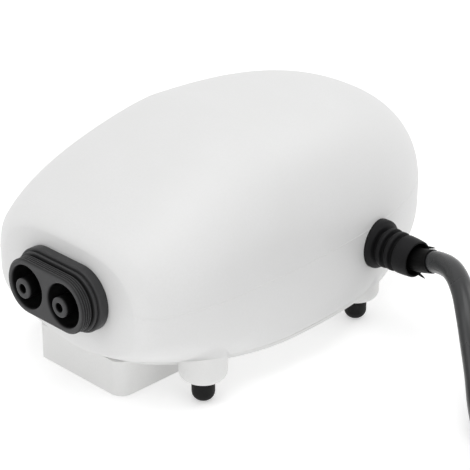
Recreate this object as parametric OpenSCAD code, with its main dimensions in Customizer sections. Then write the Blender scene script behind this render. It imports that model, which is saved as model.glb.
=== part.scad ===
// Aquarium air pump with two outlets.
// A coil swings two magnets, whose arms work two rubber diaphragms with flap valves.
// +Z is up and the outlets face -Y. The origin lies on the floor, under the body's middle.

/* [Body] */
// Widest half width of the housing
body_half_w = 31.3; // [31.2:0.1:32.5]
// Height of the housing's top above the floor
body_h = 57.5; // [56:0.5:62]
// Wall of the housing
wall = 2.2; // [1.8:0.1:2.4]

/* [Base] */
// Height of the foot posts' undersides above the floor
foot_h = 5.7; // [5:0.1:6.2]
// Thickness of the rim seen round the base plate
rim_t = 0.8; // [0.6:0.1:1]
// How far the rim stands out from the housing's edge
rim_lip = 0.3; // [0.1:0.1:0.5]
// Thickness of the deck above the rim
deck_t = 1.4; // [1.2:0.1:1.6]
// Diameter of the foot posts and of the bosses above them
post_d = 11.2; // [10.8:0.1:11.4]
// Diameter of the rubber feet
foot_d = 5.4; // [5:0.1:5.8]
// Shank diameter of the four base screws
base_screw_d = 2.6; // [2.2:0.1:3]

/* [Filter] */
// Half width of the filter box
filter_half_w = 13.35; // [12.5:0.05:14]
// Wall of the filter box
filter_wall = 1.6; // [1.2:0.1:2]
// Gap between the filter box and the floor
filter_gap = 0.9; // [0.6:0.1:1.5]
// Thickness of the filter cover
cover_t = 1.7; // [1.2:0.1:2.2]
// Width of the filter cover's slots
slot_w = 1.4; // [1:0.1:1.8]

/* [Outlets] */
// Distance between the two nozzles
outlet_pitch = 12.5; // [12:0.1:13]
// Outside diameter of a nozzle, for soft airline tube
nozzle_d = 4.8; // [4.4:0.1:5]
// Bore of a nozzle
nozzle_bore = 2.1; // [1.6:0.1:2.4]
// Diameter of the wells round the nozzles
well_d = 10.5; // [10:0.1:10.8]
// Depth of the wells
well_depth = 7.1; // [5:0.1:7.5]
// Outside diameter of the inner hoses
hose_d = 5; // [4.4:0.1:5.4]
// Bore of the inner hoses
hose_bore = 3; // [2.8:0.1:3.4]

/* [Valves] */
// Diameter of the valve ports
port_d = 4; // [3:0.1:4.4]
// Thickness of the rubber flaps
flap_t = 0.8; // [0.6:0.1:1]
// Width of the flaps
flap_w = 6; // [5:0.1:6.4]
// Diameter of the bead that each flap turns on
bead_d = 1.8; // [1.6:0.1:1.8]
// Thickness of a valve plate
valve_plate_t = 2; // [1.9:0.1:2.1]
// Thickness of the diaphragm's rubber
rubber_t = 0.8; // [0.6:0.1:0.9]

/* [Drive] */
// Thickness of the swing arms
arm_t = 2.4; // [2:0.1:2.8]
// Height of the swing arms
arm_h = 8; // [7:0.5:10]
// Diameter of the pins that the arms turn on
pivot_d = 3; // [2.6:0.1:3.2]
// Width of a magnet across the swing
magnet_w = 5.8; // [5:0.1:6.2]
// Length of a magnet
magnet_l = 7.6; // [6:0.1:7.8]
// Height of a magnet
magnet_h = 10; // [8:0.5:11]
// Stack height of the core's laminations
core_h = 12; // [10:0.5:13]
// Width of the core's middle limb
limb_w = 7; // [6:0.1:7.4]
// Outside half height of the winding
winding_half_h = 11.8; // [10.5:0.1:12]

/* [Cord] */
// Diameter of the mains lead
cord_d = 5.2; // [5:0.1:5.4]
// Diameter of the grommet's flange
grommet_d = 12; // [11:0.1:12.4]
// Diameter of the plug's pins
plug_pin_d = 4; // [3.8:0.1:4.2]
// Length of the plug's pins
plug_pin_l = 19; // [17:0.5:20]

/* [Hidden] */
$fn = 48;

// Clearances
fit = 0.05;       // radius to spare round a running or pressed pin
loose = 0.1;      // gap round a screw or a piece dropped in
gap = 0.3;        // gap between pieces that move past each other

// Egg-shaped body: places of its widest level, its crown and its ends
wide_z = 23.6;
wide_y = -23.1;
crown_y = -6.8;
front_y = -63.9;  // where the plan would end if the nose were not cut flat
back_y = 58.4;
nose_y = -50.8;
nose_r = 3;
seam_z = 9.8;     // the housing's bottom edge, on the base plate's rim
edge_half_w = body_half_w - 0.7;
edge_y = -9.7;
edge_front = -48.4;
edge_back = 47.2;
rings = 30;       // stations along the body
steps = 22;       // steps over the dome
drops = [1, 0.9, 0.76, 0.55];  // levels of the wall below the widest one
body_half_l = (back_y - nose_y) / 2;
body_mid = (back_y + nose_y) / 2;
edge_mid = (edge_front + edge_back) / 2;
edge_half_l = (edge_back - edge_front) / 2;

// Base
deck_z = seam_z + deck_t;
foot_xy = [[25, -32.8], [-25, -32.8], [22.9, 20.4], [-22.9, 20.4]];
boss_top = 16.2;
spigot_d = 6.8;
spigot_top = seam_z + 2.2;
head_z = spigot_top - 1.6;   // seat of the base screws' heads
head_h = 1.6;
filter_front = -47.4;
filter_back = -24;
filter_r = 3.2;
slot_pitch = 2.3;
slot_l = 14;

// Outlets
outlet_z = 25.8;
face_y = -57.3;
tip_y = -58.4;
neck_r = well_d / 2 + 1.75;
wall_in = nose_y + wall;     // inner face of the housing at the nose
block_back = wall_in + 1.4;
barb_d = hose_bore - 2 * fit;
barb_end = -43;
// Grooves and collars round the outlet block: height over its neck, start and end behind its face
barrel = [-0.55, 0, 2.7];
ridges = [-0.3, 0.4, 0.7];
ridge_pitch = 0.6;
outlet_steps = [[-0.8, 2.6, 3.2], [0.2, 3.1, 3.8], [-0.2, 3.7, 4.2], [0.85, 4.1, 4.4]];
collar = [1.1, 4.4];

// Grommet and cord
cord_y = 21.3;
cord_z = 21.7;
flange_x = body_half_w * pow(1 - pow((cord_y - wide_y) / (back_y - wide_y), 2.95), 0.5) - 0.4;
tail_in = flange_x - 9.2;
cord_start = 36;

// Pump chambers: their axes run along X
pump_y = -12;
pump_z = 24;
box_x = [18.25, 23.25];
box_y = [-24.5, 0.5];
box_z = [deck_z, 36.5];
plate_x = box_x[0] - valve_plate_t;
ring_x = 12.75;
bore_r = 10;
rim_r = 11.2;
hub_x = 10.65;
hub_r = 4.2;
hub_screw_d = 2.5;
port_dz = 4.5;
hinge_dz = 8.2;
flap_l = 7.2;
bead_in = 0.15;              // how far a bead's axis lies inside the plate
pocket_y = [-19.5, -4.5];
pocket_x = 21.75;
port_z = 30;
port_x = 20;
ring_screw_d = 2.4;
ring_screw_off = 10.2;
lug_top = 15.2;              // lugs at both ends of the valve box, screwed down to the base
lug_t = 2;
lug_r = 2.1;
lug_x = box_x[0] + 1.65;
lug_y = [box_y[0] - lug_r - fit, box_y[1] + lug_r + fit];
lug_screw_d = 2.4;

// Swing arms
pivot_y = -28;
arm_x = 7.25;
arm_z = 24;
pivot_r = 3;
pivot_z = [18, 30];
end_y = [2.7, 4.2];
pin_foot = pivot_z[0] - gap;
cap_z = pivot_z[1] + 0.4;
cap_t = 2.6;                 // cap over both pivot pins, held by one screw
cap_r = 3;
cap_screw_d = 2.6;

// Electromagnet
core_y = [13, 37];
core_half_w = body_half_w - 15.3;
window_x = core_half_w - 5;
yoke_y = 30;
core_z = [arm_z - core_h / 2, arm_z + core_h / 2];
core_screw_xy = [for (s = [-1, 1], y = [core_y[0] + 3.5, core_y[1] - 3.5]) [s * (core_half_w - 2.5), y]];
core_screw_d = 3;
core_boss_r = core_screw_d / 2 + 1.2;
bobbin_y = [14.5, 29.5];
bobbin_wall = 1;
terminal_xy = [for (y = [20.1, 22.5]) [window_x - 2.2, y]];
terminal_d = 1;
wire_z = winding_half_h + arm_z + 3;
wire_d = 1.3;

// Free cord: from the grommet down to the floor, then to a coil tied for storage
cord_route = [[cord_start, cord_y, cord_z], [39, 21.3, 21.7], [42.5, 21.3, 22], [48, 21, 23.5],
    [54, 18.5, 24.5], [60, 14.5, 23.5], [65, 10.5, 20.5], [69, 7.5, 16], [73, 4.5, 11], [77, 1, 6.5],
    [82, -3, 3.5], [87.5, -7.5, 2.6], [94, -12, 2.6], [103, -15.2, 2.8], [112, -15.9, 3.4]];
plug_route = [[94, -11, 9.5], [102.5, -14.5, 11.5], [112, -16, 13.5], [121.5, -14.3, 15.5],
    [130, -9, 17], [135, -1.5, 17.8], [137, 6.5, 18], [137, 10, 18], [137, 13.5, 18]];
plug_at = [137, 57.5, 18];
plug_turn = 90;
tie_at = [-5, 100, 175];
coil_at = [112, 20.5];
coil_lift = 0.8;
coil_r = 31.2;

// ---- outline functions ----
// Share of the full width left at the distance u (0 to 1) from the widest place
function taper(u, p, q) = pow(max(0, 1 - pow(min(1, abs(u)), p)), 1 / q);
function plan_w(y) = body_half_w * (y < wide_y
    ? taper((wide_y - y) / (wide_y - front_y), 2.55, 2)
    : taper((y - wide_y) / (back_y - wide_y), 2.95, 2));
function crown_h(y) = (body_h - wide_z) * (y < crown_y
    ? taper((crown_y - y) / (crown_y - front_y), 1.35, 1.6)
    : taper((y - crown_y) / (back_y - crown_y), 2.7, 1.85));
// The nose's edge is rounded by nose_r where the body is cut flat
function nose_in(y) = let (d = max(0, min(1, (nose_y + nose_r - y) / nose_r)))
    nose_r * (1 - sqrt(1 - d * d));
function squareness(y) = 3.1 - 0.9 * (y - front_y) / (back_y - front_y);
// Half width of the bottom edge
function edge_w(y) = max(1.2, edge_half_w * (y < edge_y
    ? taper((edge_y - y) / (edge_y - edge_front), 1.9, 1.88)
    : taper((y - edge_y) / (edge_back - edge_y), 2.45, 2.2)));
// Station s from 0 at the nose to 1 at the back, closer together at both ends
function station(s) = cos(177 * s);
function at_wide(s) = body_mid - body_half_l * station(s);
function at_edge(s) = edge_mid - edge_half_l * station(s);
function signed_pow(v, e) = (v < 0 ? -1 : 1) * pow(abs(v), e);
// Point of the dome at angle t: 0 is its +X edge, 180 its -X edge
function dome_point(s, t) = let (y = at_wide(s), e = 2 / squareness(y))
    [(plan_w(y) - nose_in(y)) * signed_pow(cos(t), e), y,
     wide_z + (crown_h(y) - 0.8 * nose_in(y)) * pow(sin(t), e)];
// Point of the wall below the widest level, at the share q of its drop
function wall_point(s, q, side) = let (k = pow(q, 4.5), y = at_wide(s), b = at_edge(s))
    [side * ((plan_w(y) - nose_in(y)) * (1 - k) + edge_w(b) * k), y * (1 - k) + b * k,
     wide_z - (wide_z - seam_z) * q];
function ring(s) = concat([for (q = drops) wall_point(s, q, 1)],
    [for (i = [0 : steps]) dome_point(s, 180 * i / steps)],
    [for (i = [1 : len(drops)]) wall_point(s, drops[len(drops) - i], -1)]);
// The inner surface is the outer one, drawn in by the wall
function inward(p) = [p[0] * (1 - wall / body_half_w),
    body_mid + (p[1] - body_mid) * (1 - wall / body_half_l),
    p[2] > wide_z ? wide_z + (p[2] - wide_z) * (1 - wall / (body_h - wide_z)) : p[2]];
function flatten(l) = [for (a = l, b = a) b];
function edge_outline(grow) = let (n = 36, pts = [for (i = [0 : n])
    let (y = edge_mid - edge_half_l * cos(180 * i / n))
    [edge_w(y) * (1 + grow / edge_half_w), edge_mid + (y - edge_mid) * (1 + grow / edge_half_l)]])
    concat(pts, [for (i = [0 : n]) [-pts[n - i][0], pts[n - i][1]]]);

// ---- shared shapes ----
// Closed shell of the egg-shaped body, open below
module body_shell() {
    outer = [for (i = [0 : rings]) ring(i / rings)];
    inner = [for (r = outer) [for (p = r) inward(p)]];
    m = len(outer[0]);
    base = (rings + 1) * m;
    half = (m - 1) / 2;
    function id(i, j) = i * m + j;
    skin = [for (i = [0 : rings - 1], j = [0 : m - 2]) each
        [[id(i, j), id(i, j + 1), id(i + 1, j + 1)], [id(i, j), id(i + 1, j + 1), id(i + 1, j)]]];
    nose = [for (j = [0 : half - 1]) each concat(
        [[id(0, j), id(0, m - 1 - j), id(0, j + 1)]],
        j < half - 1 ? [[id(0, m - 1 - j), id(0, m - 2 - j), id(0, j + 1)]] : [])];
    tail = [for (f = nose) [for (v = [f[0], f[2], f[1]]) v + rings * m]];
    edge = [for (i = [0 : rings - 1]) each
        [[id(i, 0), id(i + 1, 0), id(i + 1, 0) + base], [id(i, 0), id(i + 1, 0) + base, id(i, 0) + base],
         [id(i, m - 1), id(i, m - 1) + base, id(i + 1, m - 1) + base],
         [id(i, m - 1), id(i + 1, m - 1) + base, id(i + 1, m - 1)]]];
    ends = [[id(0, 0), id(0, 0) + base, id(0, m - 1) + base], [id(0, 0), id(0, m - 1) + base, id(0, m - 1)],
        [id(rings, 0), id(rings, m - 1) + base, id(rings, 0) + base],
        [id(rings, 0), id(rings, m - 1), id(rings, m - 1) + base]];
    outside = concat(skin, nose, tail);
    inside = [for (f = outside) [f[0] + base, f[2] + base, f[1] + base]];
    polyhedron(concat(flatten(outer), flatten(inner)), concat(outside, inside, edge, ends), convexity = 6);
}

// Post with a rounded lower edge
module round_post(d, h, f) {
    rotate_extrude() union() {
        square([d / 2 - f, h]);
        translate([0, f]) square([d / 2, h - f]);
        translate([d / 2 - f, f]) intersection() { circle(f); translate([0, -f]) square([f, 2 * f]); }
    }
}

module round_rect(x, y, r) {
    translate([x[0] + r, y[0]]) square([x[1] - x[0] - 2 * r, y[1] - y[0]]);
    translate([x[0], y[0] + r]) square([x[1] - x[0], y[1] - y[0] - 2 * r]);
    for (a = [x[0] + r, x[1] - r], b = [y[0] + r, y[1] - r]) translate([a, b]) circle(r);
}

// Upright screw with its head's seat at z = 0
module screw(d, l, head_d, h) {
    translate([0, 0, -l]) cylinder(d = d, h = l);
    difference() {
        cylinder(d = head_d, h = h);
        for (a = [0, 90]) rotate([0, 0, a])
            translate([-head_d / 3, -0.3, h - 0.6]) cube([head_d * 2 / 3, 0.6, 1]);
    }
}

// Everything drawn once for the +X pump and mirrored for the other
module at_side(side) { if (side > 0) children(); else mirror([1, 0, 0]) children(); }
module along_x(x, y, z) { translate([x, y, z]) rotate([0, 90, 0]) children(); }
module along_y(x, y, z) { translate([x, y, z]) rotate([-90, 0, 0]) children(); }

// Bar of the outlets' long round shape, from y0 to y1
module outlet_bar(r, y0, y1) {
    translate([0, y1, outlet_z]) rotate([90, 0, 0]) linear_extrude(y1 - y0) {
        for (s = [-1, 1]) translate([s * outlet_pitch / 2, 0]) circle(r);
        square([outlet_pitch, 2 * r], center = true);
    }
}

// Slab across the pump's axis from x0 to x1, with the valve box's outline
module pump_slab(x0, x1) {
    translate([x0, 0, 0]) rotate([90, 0, 90]) linear_extrude(x1 - x0) round_rect(box_y, box_z, 2);
}
module ring_screw_spots() {
    for (a = [-1, 1], b = [-1, 1])
        translate([0, pump_y + a * ring_screw_off, pump_z + b * ring_screw_off]) children();
}

// ---- housing and base ----
module housing() {
    color("whitesmoke") difference() {
        union() {
            body_shell();
            for (p = foot_xy) translate([p[0], p[1], seam_z]) cylinder(d = post_d, h = boss_top - seam_z);
        }
        for (p = foot_xy) translate([p[0], p[1], seam_z]) {
            translate([0, 0, -1]) cylinder(d = spigot_d + 2 * loose, h = spigot_top + loose - seam_z + 1);
            cylinder(d = base_screw_d + 2 * fit, h = boss_top - 0.6 - seam_z);
        }
        outlet_bar(neck_r + loose, nose_y - 1, wall_in + 1);
        along_x(flange_x - 8, cord_y, cord_z) cylinder(d = 8.8 + 2 * loose, h = 12);
        along_x(flange_x, cord_y, cord_z) cylinder(d = grommet_d + 2 * loose, h = 6);
    }
}

module base_plate() {
    color("white") difference() {
        union() {
            translate([0, 0, seam_z - rim_t]) linear_extrude(rim_t) polygon(edge_outline(rim_lip));
            difference() {
                translate([0, 0, seam_z - 0.1]) linear_extrude(deck_t + 0.1)
                    polygon(edge_outline(-wall - 2 * loose));
                for (p = foot_xy) translate([p[0], p[1], seam_z]) cylinder(d = post_d + 4 * loose, h = 9);
            }
            for (p = foot_xy) translate([p[0], p[1], foot_h]) {
                round_post(post_d, seam_z - foot_h, 1);
                cylinder(d = spigot_d, h = spigot_top - foot_h);
            }
            translate([0, 0, filter_gap]) linear_extrude(seam_z - filter_gap)
                round_rect([-filter_half_w, filter_half_w], [filter_front, filter_back], filter_r);
            for (p = core_screw_xy) translate([p[0], p[1], deck_z - 0.5])
                cylinder(r = core_boss_r, h = core_z[0] - deck_z + 0.5);
            for (s = [-1, 1]) {
                for (y = lug_y) translate([s * lug_x, y, deck_z - 0.5])
                    cylinder(r = lug_r, h = lug_top - deck_z + 0.5);
                translate([s * arm_x, pivot_y, deck_z - 0.5])
                    cylinder(r = pivot_r + 0.2, h = pin_foot - deck_z + 0.5);
            }
            translate([0, pivot_y, deck_z - 0.5]) cylinder(r = cap_r, h = cap_z - deck_z + 0.5);
        }
        translate([0, 0, filter_gap - 1]) linear_extrude(seam_z - rim_t - filter_gap + 1)
            round_rect([-filter_half_w + filter_wall, filter_half_w - filter_wall],
                [filter_front + filter_wall, filter_back - filter_wall], filter_r - 1);
        for (i = [-2 : 2]) translate([i * 4 - 0.9, filter_front + 4, seam_z - rim_t - 0.5])
            cube([1.8, 10, rim_t + deck_t + 1]);
        for (p = foot_xy) translate([p[0], p[1], foot_h - 1]) {
            cylinder(d = foot_d + 2 * fit, h = head_z - foot_h + 1);
            cylinder(d = base_screw_d + 2 * loose, h = 12);
        }
        for (p = core_screw_xy) translate([p[0], p[1], core_z[0] - 5.5])
            cylinder(d = core_screw_d + 2 * fit, h = 6);
        for (s = [-1, 1]) {
            for (y = lug_y) translate([s * lug_x, y, lug_top - 5]) cylinder(d = lug_screw_d + 2 * fit, h = 6);
            translate([s * arm_x, pivot_y, pin_foot - 5.2]) cylinder(d = pivot_d + 2 * fit, h = 6);
        }
        translate([0, pivot_y, cap_z - 9]) cylinder(d = cap_screw_d + 2 * fit, h = 10);
    }
}

module rubber_feet() {
    color("#202020") for (p = foot_xy) translate([p[0], p[1], 0])
        round_post(foot_d, head_z - head_h - loose, 1.1);
}

module base_screws() {
    color("silver") for (p = foot_xy) translate([p[0], p[1], head_z]) mirror([0, 0, 1])
        screw(base_screw_d, boss_top - 0.8 - head_z, foot_d - 0.6, head_h);
}

module filter_cover() {
    color("white") difference() {
        translate([0, 0, filter_gap]) linear_extrude(cover_t)
            round_rect([-filter_half_w + filter_wall + loose, filter_half_w - filter_wall - loose],
                [filter_front + filter_wall + loose, filter_back - filter_wall - loose], filter_r - 1.1);
        for (i = [-4 : 4]) translate([i * slot_pitch, (filter_front + filter_back) / 2, filter_gap + cover_t / 2])
            cube([slot_w, slot_l, cover_t + 2], center = true);
    }
}

module filter_pad() {
    color("lightgray") translate([0, 0, filter_gap + cover_t])
        linear_extrude(seam_z - rim_t - filter_gap - cover_t)
        round_rect([-filter_half_w + filter_wall + loose, filter_half_w - filter_wall - loose],
            [filter_front + filter_wall + loose, filter_back - filter_wall - loose], filter_r - 1.1);
}

// ---- outlets ----
module outlet_block() {
    color("#484848") difference() {
        union() {
            for (i = [0 : 3]) let (y = face_y + i * ridge_pitch)
                outlet_bar(neck_r + ridges[0], y + ridges[1], y + ridges[2]);
            for (b = concat([barrel], outlet_steps)) outlet_bar(neck_r + b[0], face_y + b[1], face_y + b[2]);
            outlet_bar(neck_r + collar[0], face_y + collar[1], nose_y);
            outlet_bar(neck_r, nose_y - 0.5, wall_in + 0.5);
            outlet_bar(neck_r + 1, wall_in + loose, block_back);
        }
        for (s = [-1, 1]) along_y(s * outlet_pitch / 2, face_y - 1, outlet_z) {
            cylinder(d = well_d, h = well_depth + 1);
            cylinder(d = nozzle_d - 0.4 + 2 * fit, h = 20);
        }
    }
}

module outlet_nozzles() {
    r = nozzle_d / 2;
    b = nozzle_bore / 2;
    seat = face_y + well_depth - tip_y;
    long = block_back - tip_y;
    end = barb_end - tip_y;
    color("#484848") for (s = [-1, 1]) along_y(s * outlet_pitch / 2, tip_y, outlet_z)
        rotate_extrude() polygon([[b, 0], [r - 0.3, 0], [r, 0.3], [r, seat], [r - 0.2, seat],
            [r - 0.2, long], [barb_d / 2, long],
            [barb_d / 2, end - 0.3], [barb_d / 2 - 0.2, end], [b, end]]);
}

// Straight stretch of hose
module hose_length(l) {
    difference() {
        cylinder(d = hose_d, h = l);
        translate([0, 0, -1]) cylinder(d = hose_bore, h = l + 2);
    }
}

// Bend of hose about Z through the given angle, cut as a wedge from a whole ring of it
module hose_bend(r, turn) {
    far = 4 * r;
    intersection() {
        difference() {
            rotate_extrude() translate([r, 0]) circle(d = hose_d);
            rotate_extrude() translate([r, 0]) circle(d = hose_bore);
        }
        translate([0, 0, -hose_d]) linear_extrude(2 * hose_d)
            polygon([[0, 0], [far, 0], [far * cos(turn), far * sin(turn)]]);
    }
}

// Hoses from the nozzles' barbs to the valve boxes' ports: two equal bends between straight ends
module air_hoses() {
    shift = [port_x - outlet_pitch / 2, port_z - outlet_z];
    across = norm(shift);
    ahead = box_y[0] - 3 - barb_end;
    turn = 2 * atan(across / ahead);
    r = ahead / (2 * sin(turn));
    color("#303030") for (s = [-1, 1]) at_side(s) {
        along_y(outlet_pitch / 2, block_back + loose, outlet_z) hose_length(barb_end - block_back - loose);
        along_y(port_x, box_y[0] - 3, port_z) hose_length(3 - 2 * loose);
        translate([outlet_pitch / 2, barb_end, outlet_z]) rotate([0, -atan2(shift[1], shift[0]), 0]) {
            translate([r, 0, 0]) rotate([0, 0, 180 - turn]) hose_bend(r, turn);
            translate([across - r, ahead, 0]) rotate([0, 0, -turn]) hose_bend(r, turn);
        }
    }
}

// ---- mains lead into the housing ----
module grommet() {
    b = cord_d / 2 + fit;
    x = flange_x;
    f = grommet_d / 2;
    color("#333333") along_x(0, cord_y, cord_z) rotate_extrude() polygon([
        [b, x - 6], [5.2, x - 6], [5.2, x - 3.4], [4.4, x - 3.4], [4.4, x], [f, x], [f, x + 1.8],
        [f - 1.1, x + 2.7], [4, x + 2.7], [4, x + 3.6], [4.9, x + 3.6], [4.9, x + 5], [4, x + 5],
        [4, x + 5.9], [4.8, x + 5.9], [4.8, x + 7.3], [4, x + 7.3], [4, x + 8.2], [4.6, x + 8.2],
        [4.6, x + 9.8], [4.2, x + 9.8], [4.2, x + 14.2], [3.3, x + 14.2], [3.3, x + 10], [b, x + 9.2]]);
}

module cord_tail() {
    color("#454545") along_x(tail_in, cord_y, cord_z) cylinder(d = cord_d, h = cord_start - tail_in);
}

module cord_stop() {
    color("#333333") along_x(flange_x - 8.4, cord_y, cord_z) difference() {
        cylinder(d = cord_d + 2.4, h = 2.3);
        translate([0, 0, -1]) cylinder(d = cord_d + 2 * fit, h = 5);
    }
}

// ---- electromagnet ----
module core() {
    color("dimgray") difference() {
        translate([-core_half_w, core_y[0], core_z[0]])
            cube([2 * core_half_w, core_y[1] - core_y[0], core_h]);
        for (s = [-1, 1]) at_side(s) translate([limb_w / 2, core_y[0] - 1, core_z[0] - 1])
            cube([window_x - limb_w / 2, yoke_y - core_y[0] + 1, core_h + 2]);
        for (p = core_screw_xy) translate([p[0], p[1], core_z[0] - 1])
            cylinder(d = core_screw_d + 4 * loose, h = core_h + 2);
    }
}

module core_screws() {
    color("silver") for (p = core_screw_xy) translate([p[0], p[1], core_z[1]])
        screw(core_screw_d, core_h + 5, 5.4, 1.8);
}

module bobbin() {
    t = bobbin_wall;
    x = limb_w / 2 + loose;
    z = core_h / 2 + loose;
    top = arm_z + winding_half_h + 0.5;
    color("ivory") difference() {
        union() {
            for (y = [bobbin_y[0], bobbin_y[1] - t])
                translate([-window_x + gap, y, 2 * arm_z - top])
                    cube([2 * (window_x - gap), t, 2 * (top - arm_z)]);
            translate([-x - t, bobbin_y[0], arm_z - z - t])
                cube([2 * (x + t), bobbin_y[1] - bobbin_y[0], 2 * (z + t)]);
            translate([window_x - 4, bobbin_y[0], top - 0.3]) cube([3.7, bobbin_y[1] - bobbin_y[0], 1.8]);
        }
        translate([-x, bobbin_y[0] - 1, arm_z - z]) cube([2 * x, bobbin_y[1], 2 * z]);
        for (p = terminal_xy) translate([p[0], p[1], top]) cylinder(d = terminal_d + 2 * fit, h = 4);
    }
}

module winding() {
    x = limb_w / 2 + loose + bobbin_wall;
    z = core_h / 2 + loose + bobbin_wall;
    color("#b87333") translate([0, bobbin_y[1] - bobbin_wall, arm_z]) rotate([90, 0, 0])
        linear_extrude(bobbin_y[1] - bobbin_y[0] - 2 * bobbin_wall) difference() {
            round_rect([-window_x + 0.8, window_x - 0.8], [-winding_half_h, winding_half_h], 3);
            square([2 * x, 2 * z], center = true);
        }
}

module terminal_pins() {
    color("gold") for (p = terminal_xy) translate([p[0], p[1], arm_z + winding_half_h + 0.5])
        cylinder(d = terminal_d, h = 3.5);
}

// Two wires from the cord's end up beside the core and over to the terminals
module lead_wires() {
    r = 1.5;
    x = core_half_w + wire_d / 2 + 0.55;
    color("#a04030") for (p = terminal_xy) translate([0, p[1], 0]) {
        along_x(x + r, 0, cord_z) cylinder(d = wire_d, h = tail_in - x - r);
        translate([x + r, 0, cord_z + r]) rotate([90, 0, 0]) rotate([0, 0, 180])
            rotate_extrude(angle = 90) translate([r, 0]) circle(d = wire_d);
        translate([x, 0, cord_z + r]) cylinder(d = wire_d, h = wire_z - cord_z - 2 * r);
        translate([x - r, 0, wire_z - r]) rotate([90, 0, 0])
            rotate_extrude(angle = 90) translate([r, 0]) circle(d = wire_d);
        along_x(p[0] + terminal_d / 2, 0, wire_z) cylinder(d = wire_d, h = x - r - p[0] - terminal_d / 2);
    }
}

// ---- pivots ----
module pivot_pins() {
    color("silver") for (s = [-1, 1]) translate([s * arm_x, pivot_y, pin_foot - 5])
        cylinder(d = pivot_d, h = cap_z + cap_t - 0.9 - pin_foot + 5);
}

module pivot_cap() {
    color("white") difference() {
        translate([0, 0, cap_z]) linear_extrude(cap_t)
            round_rect([-arm_x - cap_r - 0.4, arm_x + cap_r + 0.4],
                [pivot_y - cap_r, pivot_y + cap_r], cap_r - 0.1);
        for (s = [-1, 1]) translate([s * arm_x, pivot_y, cap_z - 1])
            cylinder(d = pivot_d + 2 * fit, h = cap_t + 0.2);
        translate([0, pivot_y, cap_z - 1]) cylinder(d = cap_screw_d + 2 * loose, h = cap_t + 2);
    }
}

module cap_screw() {
    color("silver") translate([0, pivot_y, cap_z + cap_t])
        screw(cap_screw_d, cap_t + 8.4, cap_screw_d + 2, 1.6);
}

// ---- one pump, drawn on the +X side ----
module arm(side) {
    color("#303030") at_side(side) difference() {
        union() {
            translate([arm_x, pivot_y, pivot_z[0]]) cylinder(r = pivot_r, h = pivot_z[1] - pivot_z[0]);
            translate([arm_x - arm_t / 2, pivot_y, arm_z - arm_h / 2])
                cube([arm_t, end_y[1] - pivot_y, arm_h]);
            translate([arm_x - magnet_w / 2 - 0.8, end_y[0], arm_z - magnet_h / 2 - 0.8])
                cube([magnet_w + 1.6, end_y[1] - end_y[0], magnet_h + 1.6]);
            for (z = [arm_z - magnet_h / 2 - 0.8, arm_z + magnet_h / 2])
                translate([arm_x - magnet_w / 2 - 0.8, end_y[0], z]) cube([magnet_w + 1.6, 4.5, 0.8]);
        }
        translate([arm_x, pivot_y, pivot_z[0] - 1]) cylinder(d = pivot_d + 2 * fit, h = 20);
        along_x(arm_x - 5, pump_y, pump_z) cylinder(d = hub_screw_d + 2 * loose, h = 10);
    }
}

module magnet(side) {
    color("gray") at_side(side) translate([arm_x - magnet_w / 2, end_y[1], arm_z - magnet_h / 2])
        cube([magnet_w, magnet_l, magnet_h]);
}

module hub_washers(side) {
    x0 = arm_x + arm_t / 2;
    color("silver") at_side(side) difference() {
        union() {
            along_x(x0, pump_y, pump_z) cylinder(r = hub_r - 0.7, h = hub_x - x0);
            along_x(hub_x + 1, pump_y, pump_z) cylinder(r = hub_r, h = 0.8);
        }
        along_x(x0 - 1, pump_y, pump_z) cylinder(d = hub_screw_d + 2 * loose, h = 20);
    }
}

// Hub screw and its nut on the arm's inner face
module hub_screw(side) {
    x0 = arm_x - arm_t / 2;
    color("silver") at_side(side) {
        along_x(hub_x + 1.8, pump_y, pump_z) {
            cylinder(r = 2, h = 0.65);
            translate([0, 0, x0 - 1.9 - hub_x - 1.8]) cylinder(d = hub_screw_d, h = hub_x + 1.8 - x0 + 1.9);
        }
        along_x(x0 - 1.6, pump_y, pump_z) cylinder(r = 2.6, h = 1.6, $fn = 6);
    }
}

module diaphragm(side) {
    t = rubber_t;
    color("#3a3a3a") at_side(side) along_x(0, pump_y, pump_z) rotate_extrude() polygon([
        [hub_screw_d / 2 + loose, hub_x], [5, hub_x], [bore_r - 0.1, plate_x - 1.7],
        [bore_r - 0.1, plate_x - 1.6], [rim_r, plate_x - 1.6], [rim_r, plate_x], [bore_r, plate_x],
        [bore_r, plate_x - 1.6 + t], [5 - 0.4 * t, hub_x + 1], [hub_screw_d / 2 + loose, hub_x + 1]]);
}

module clamp_ring(side) {
    color("white") at_side(side) difference() {
        pump_slab(ring_x, plate_x);
        along_x(ring_x - 1, pump_y, pump_z) cylinder(r = bore_r, h = 10);
        along_x(plate_x - 1.6, pump_y, pump_z) cylinder(r = rim_r + loose, h = 10);
        ring_screw_spots() along_x(ring_x - 1, 0, 0) cylinder(d = ring_screw_d + 2 * loose, h = 10);
    }
}

// Groove that a flap's bead sits in
module bead_groove(x, z) {
    along_y(x, pump_y - flap_w / 2 - gap, z) cylinder(d = bead_d + 2 * fit, h = flap_w + 2 * gap);
}

module valve_plate(side) {
    color("white") at_side(side) difference() {
        pump_slab(plate_x, box_x[0]);
        for (s = [-1, 1]) along_x(plate_x - 1, pump_y, pump_z + s * port_dz) cylinder(d = port_d, h = 10);
        bead_groove(plate_x + bead_in, pump_z - hinge_dz);
        bead_groove(box_x[0] - bead_in, pump_z + hinge_dz);
        ring_screw_spots() along_x(plate_x - 1, 0, 0) cylinder(d = ring_screw_d + 2 * loose, h = 10);
    }
}

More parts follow.
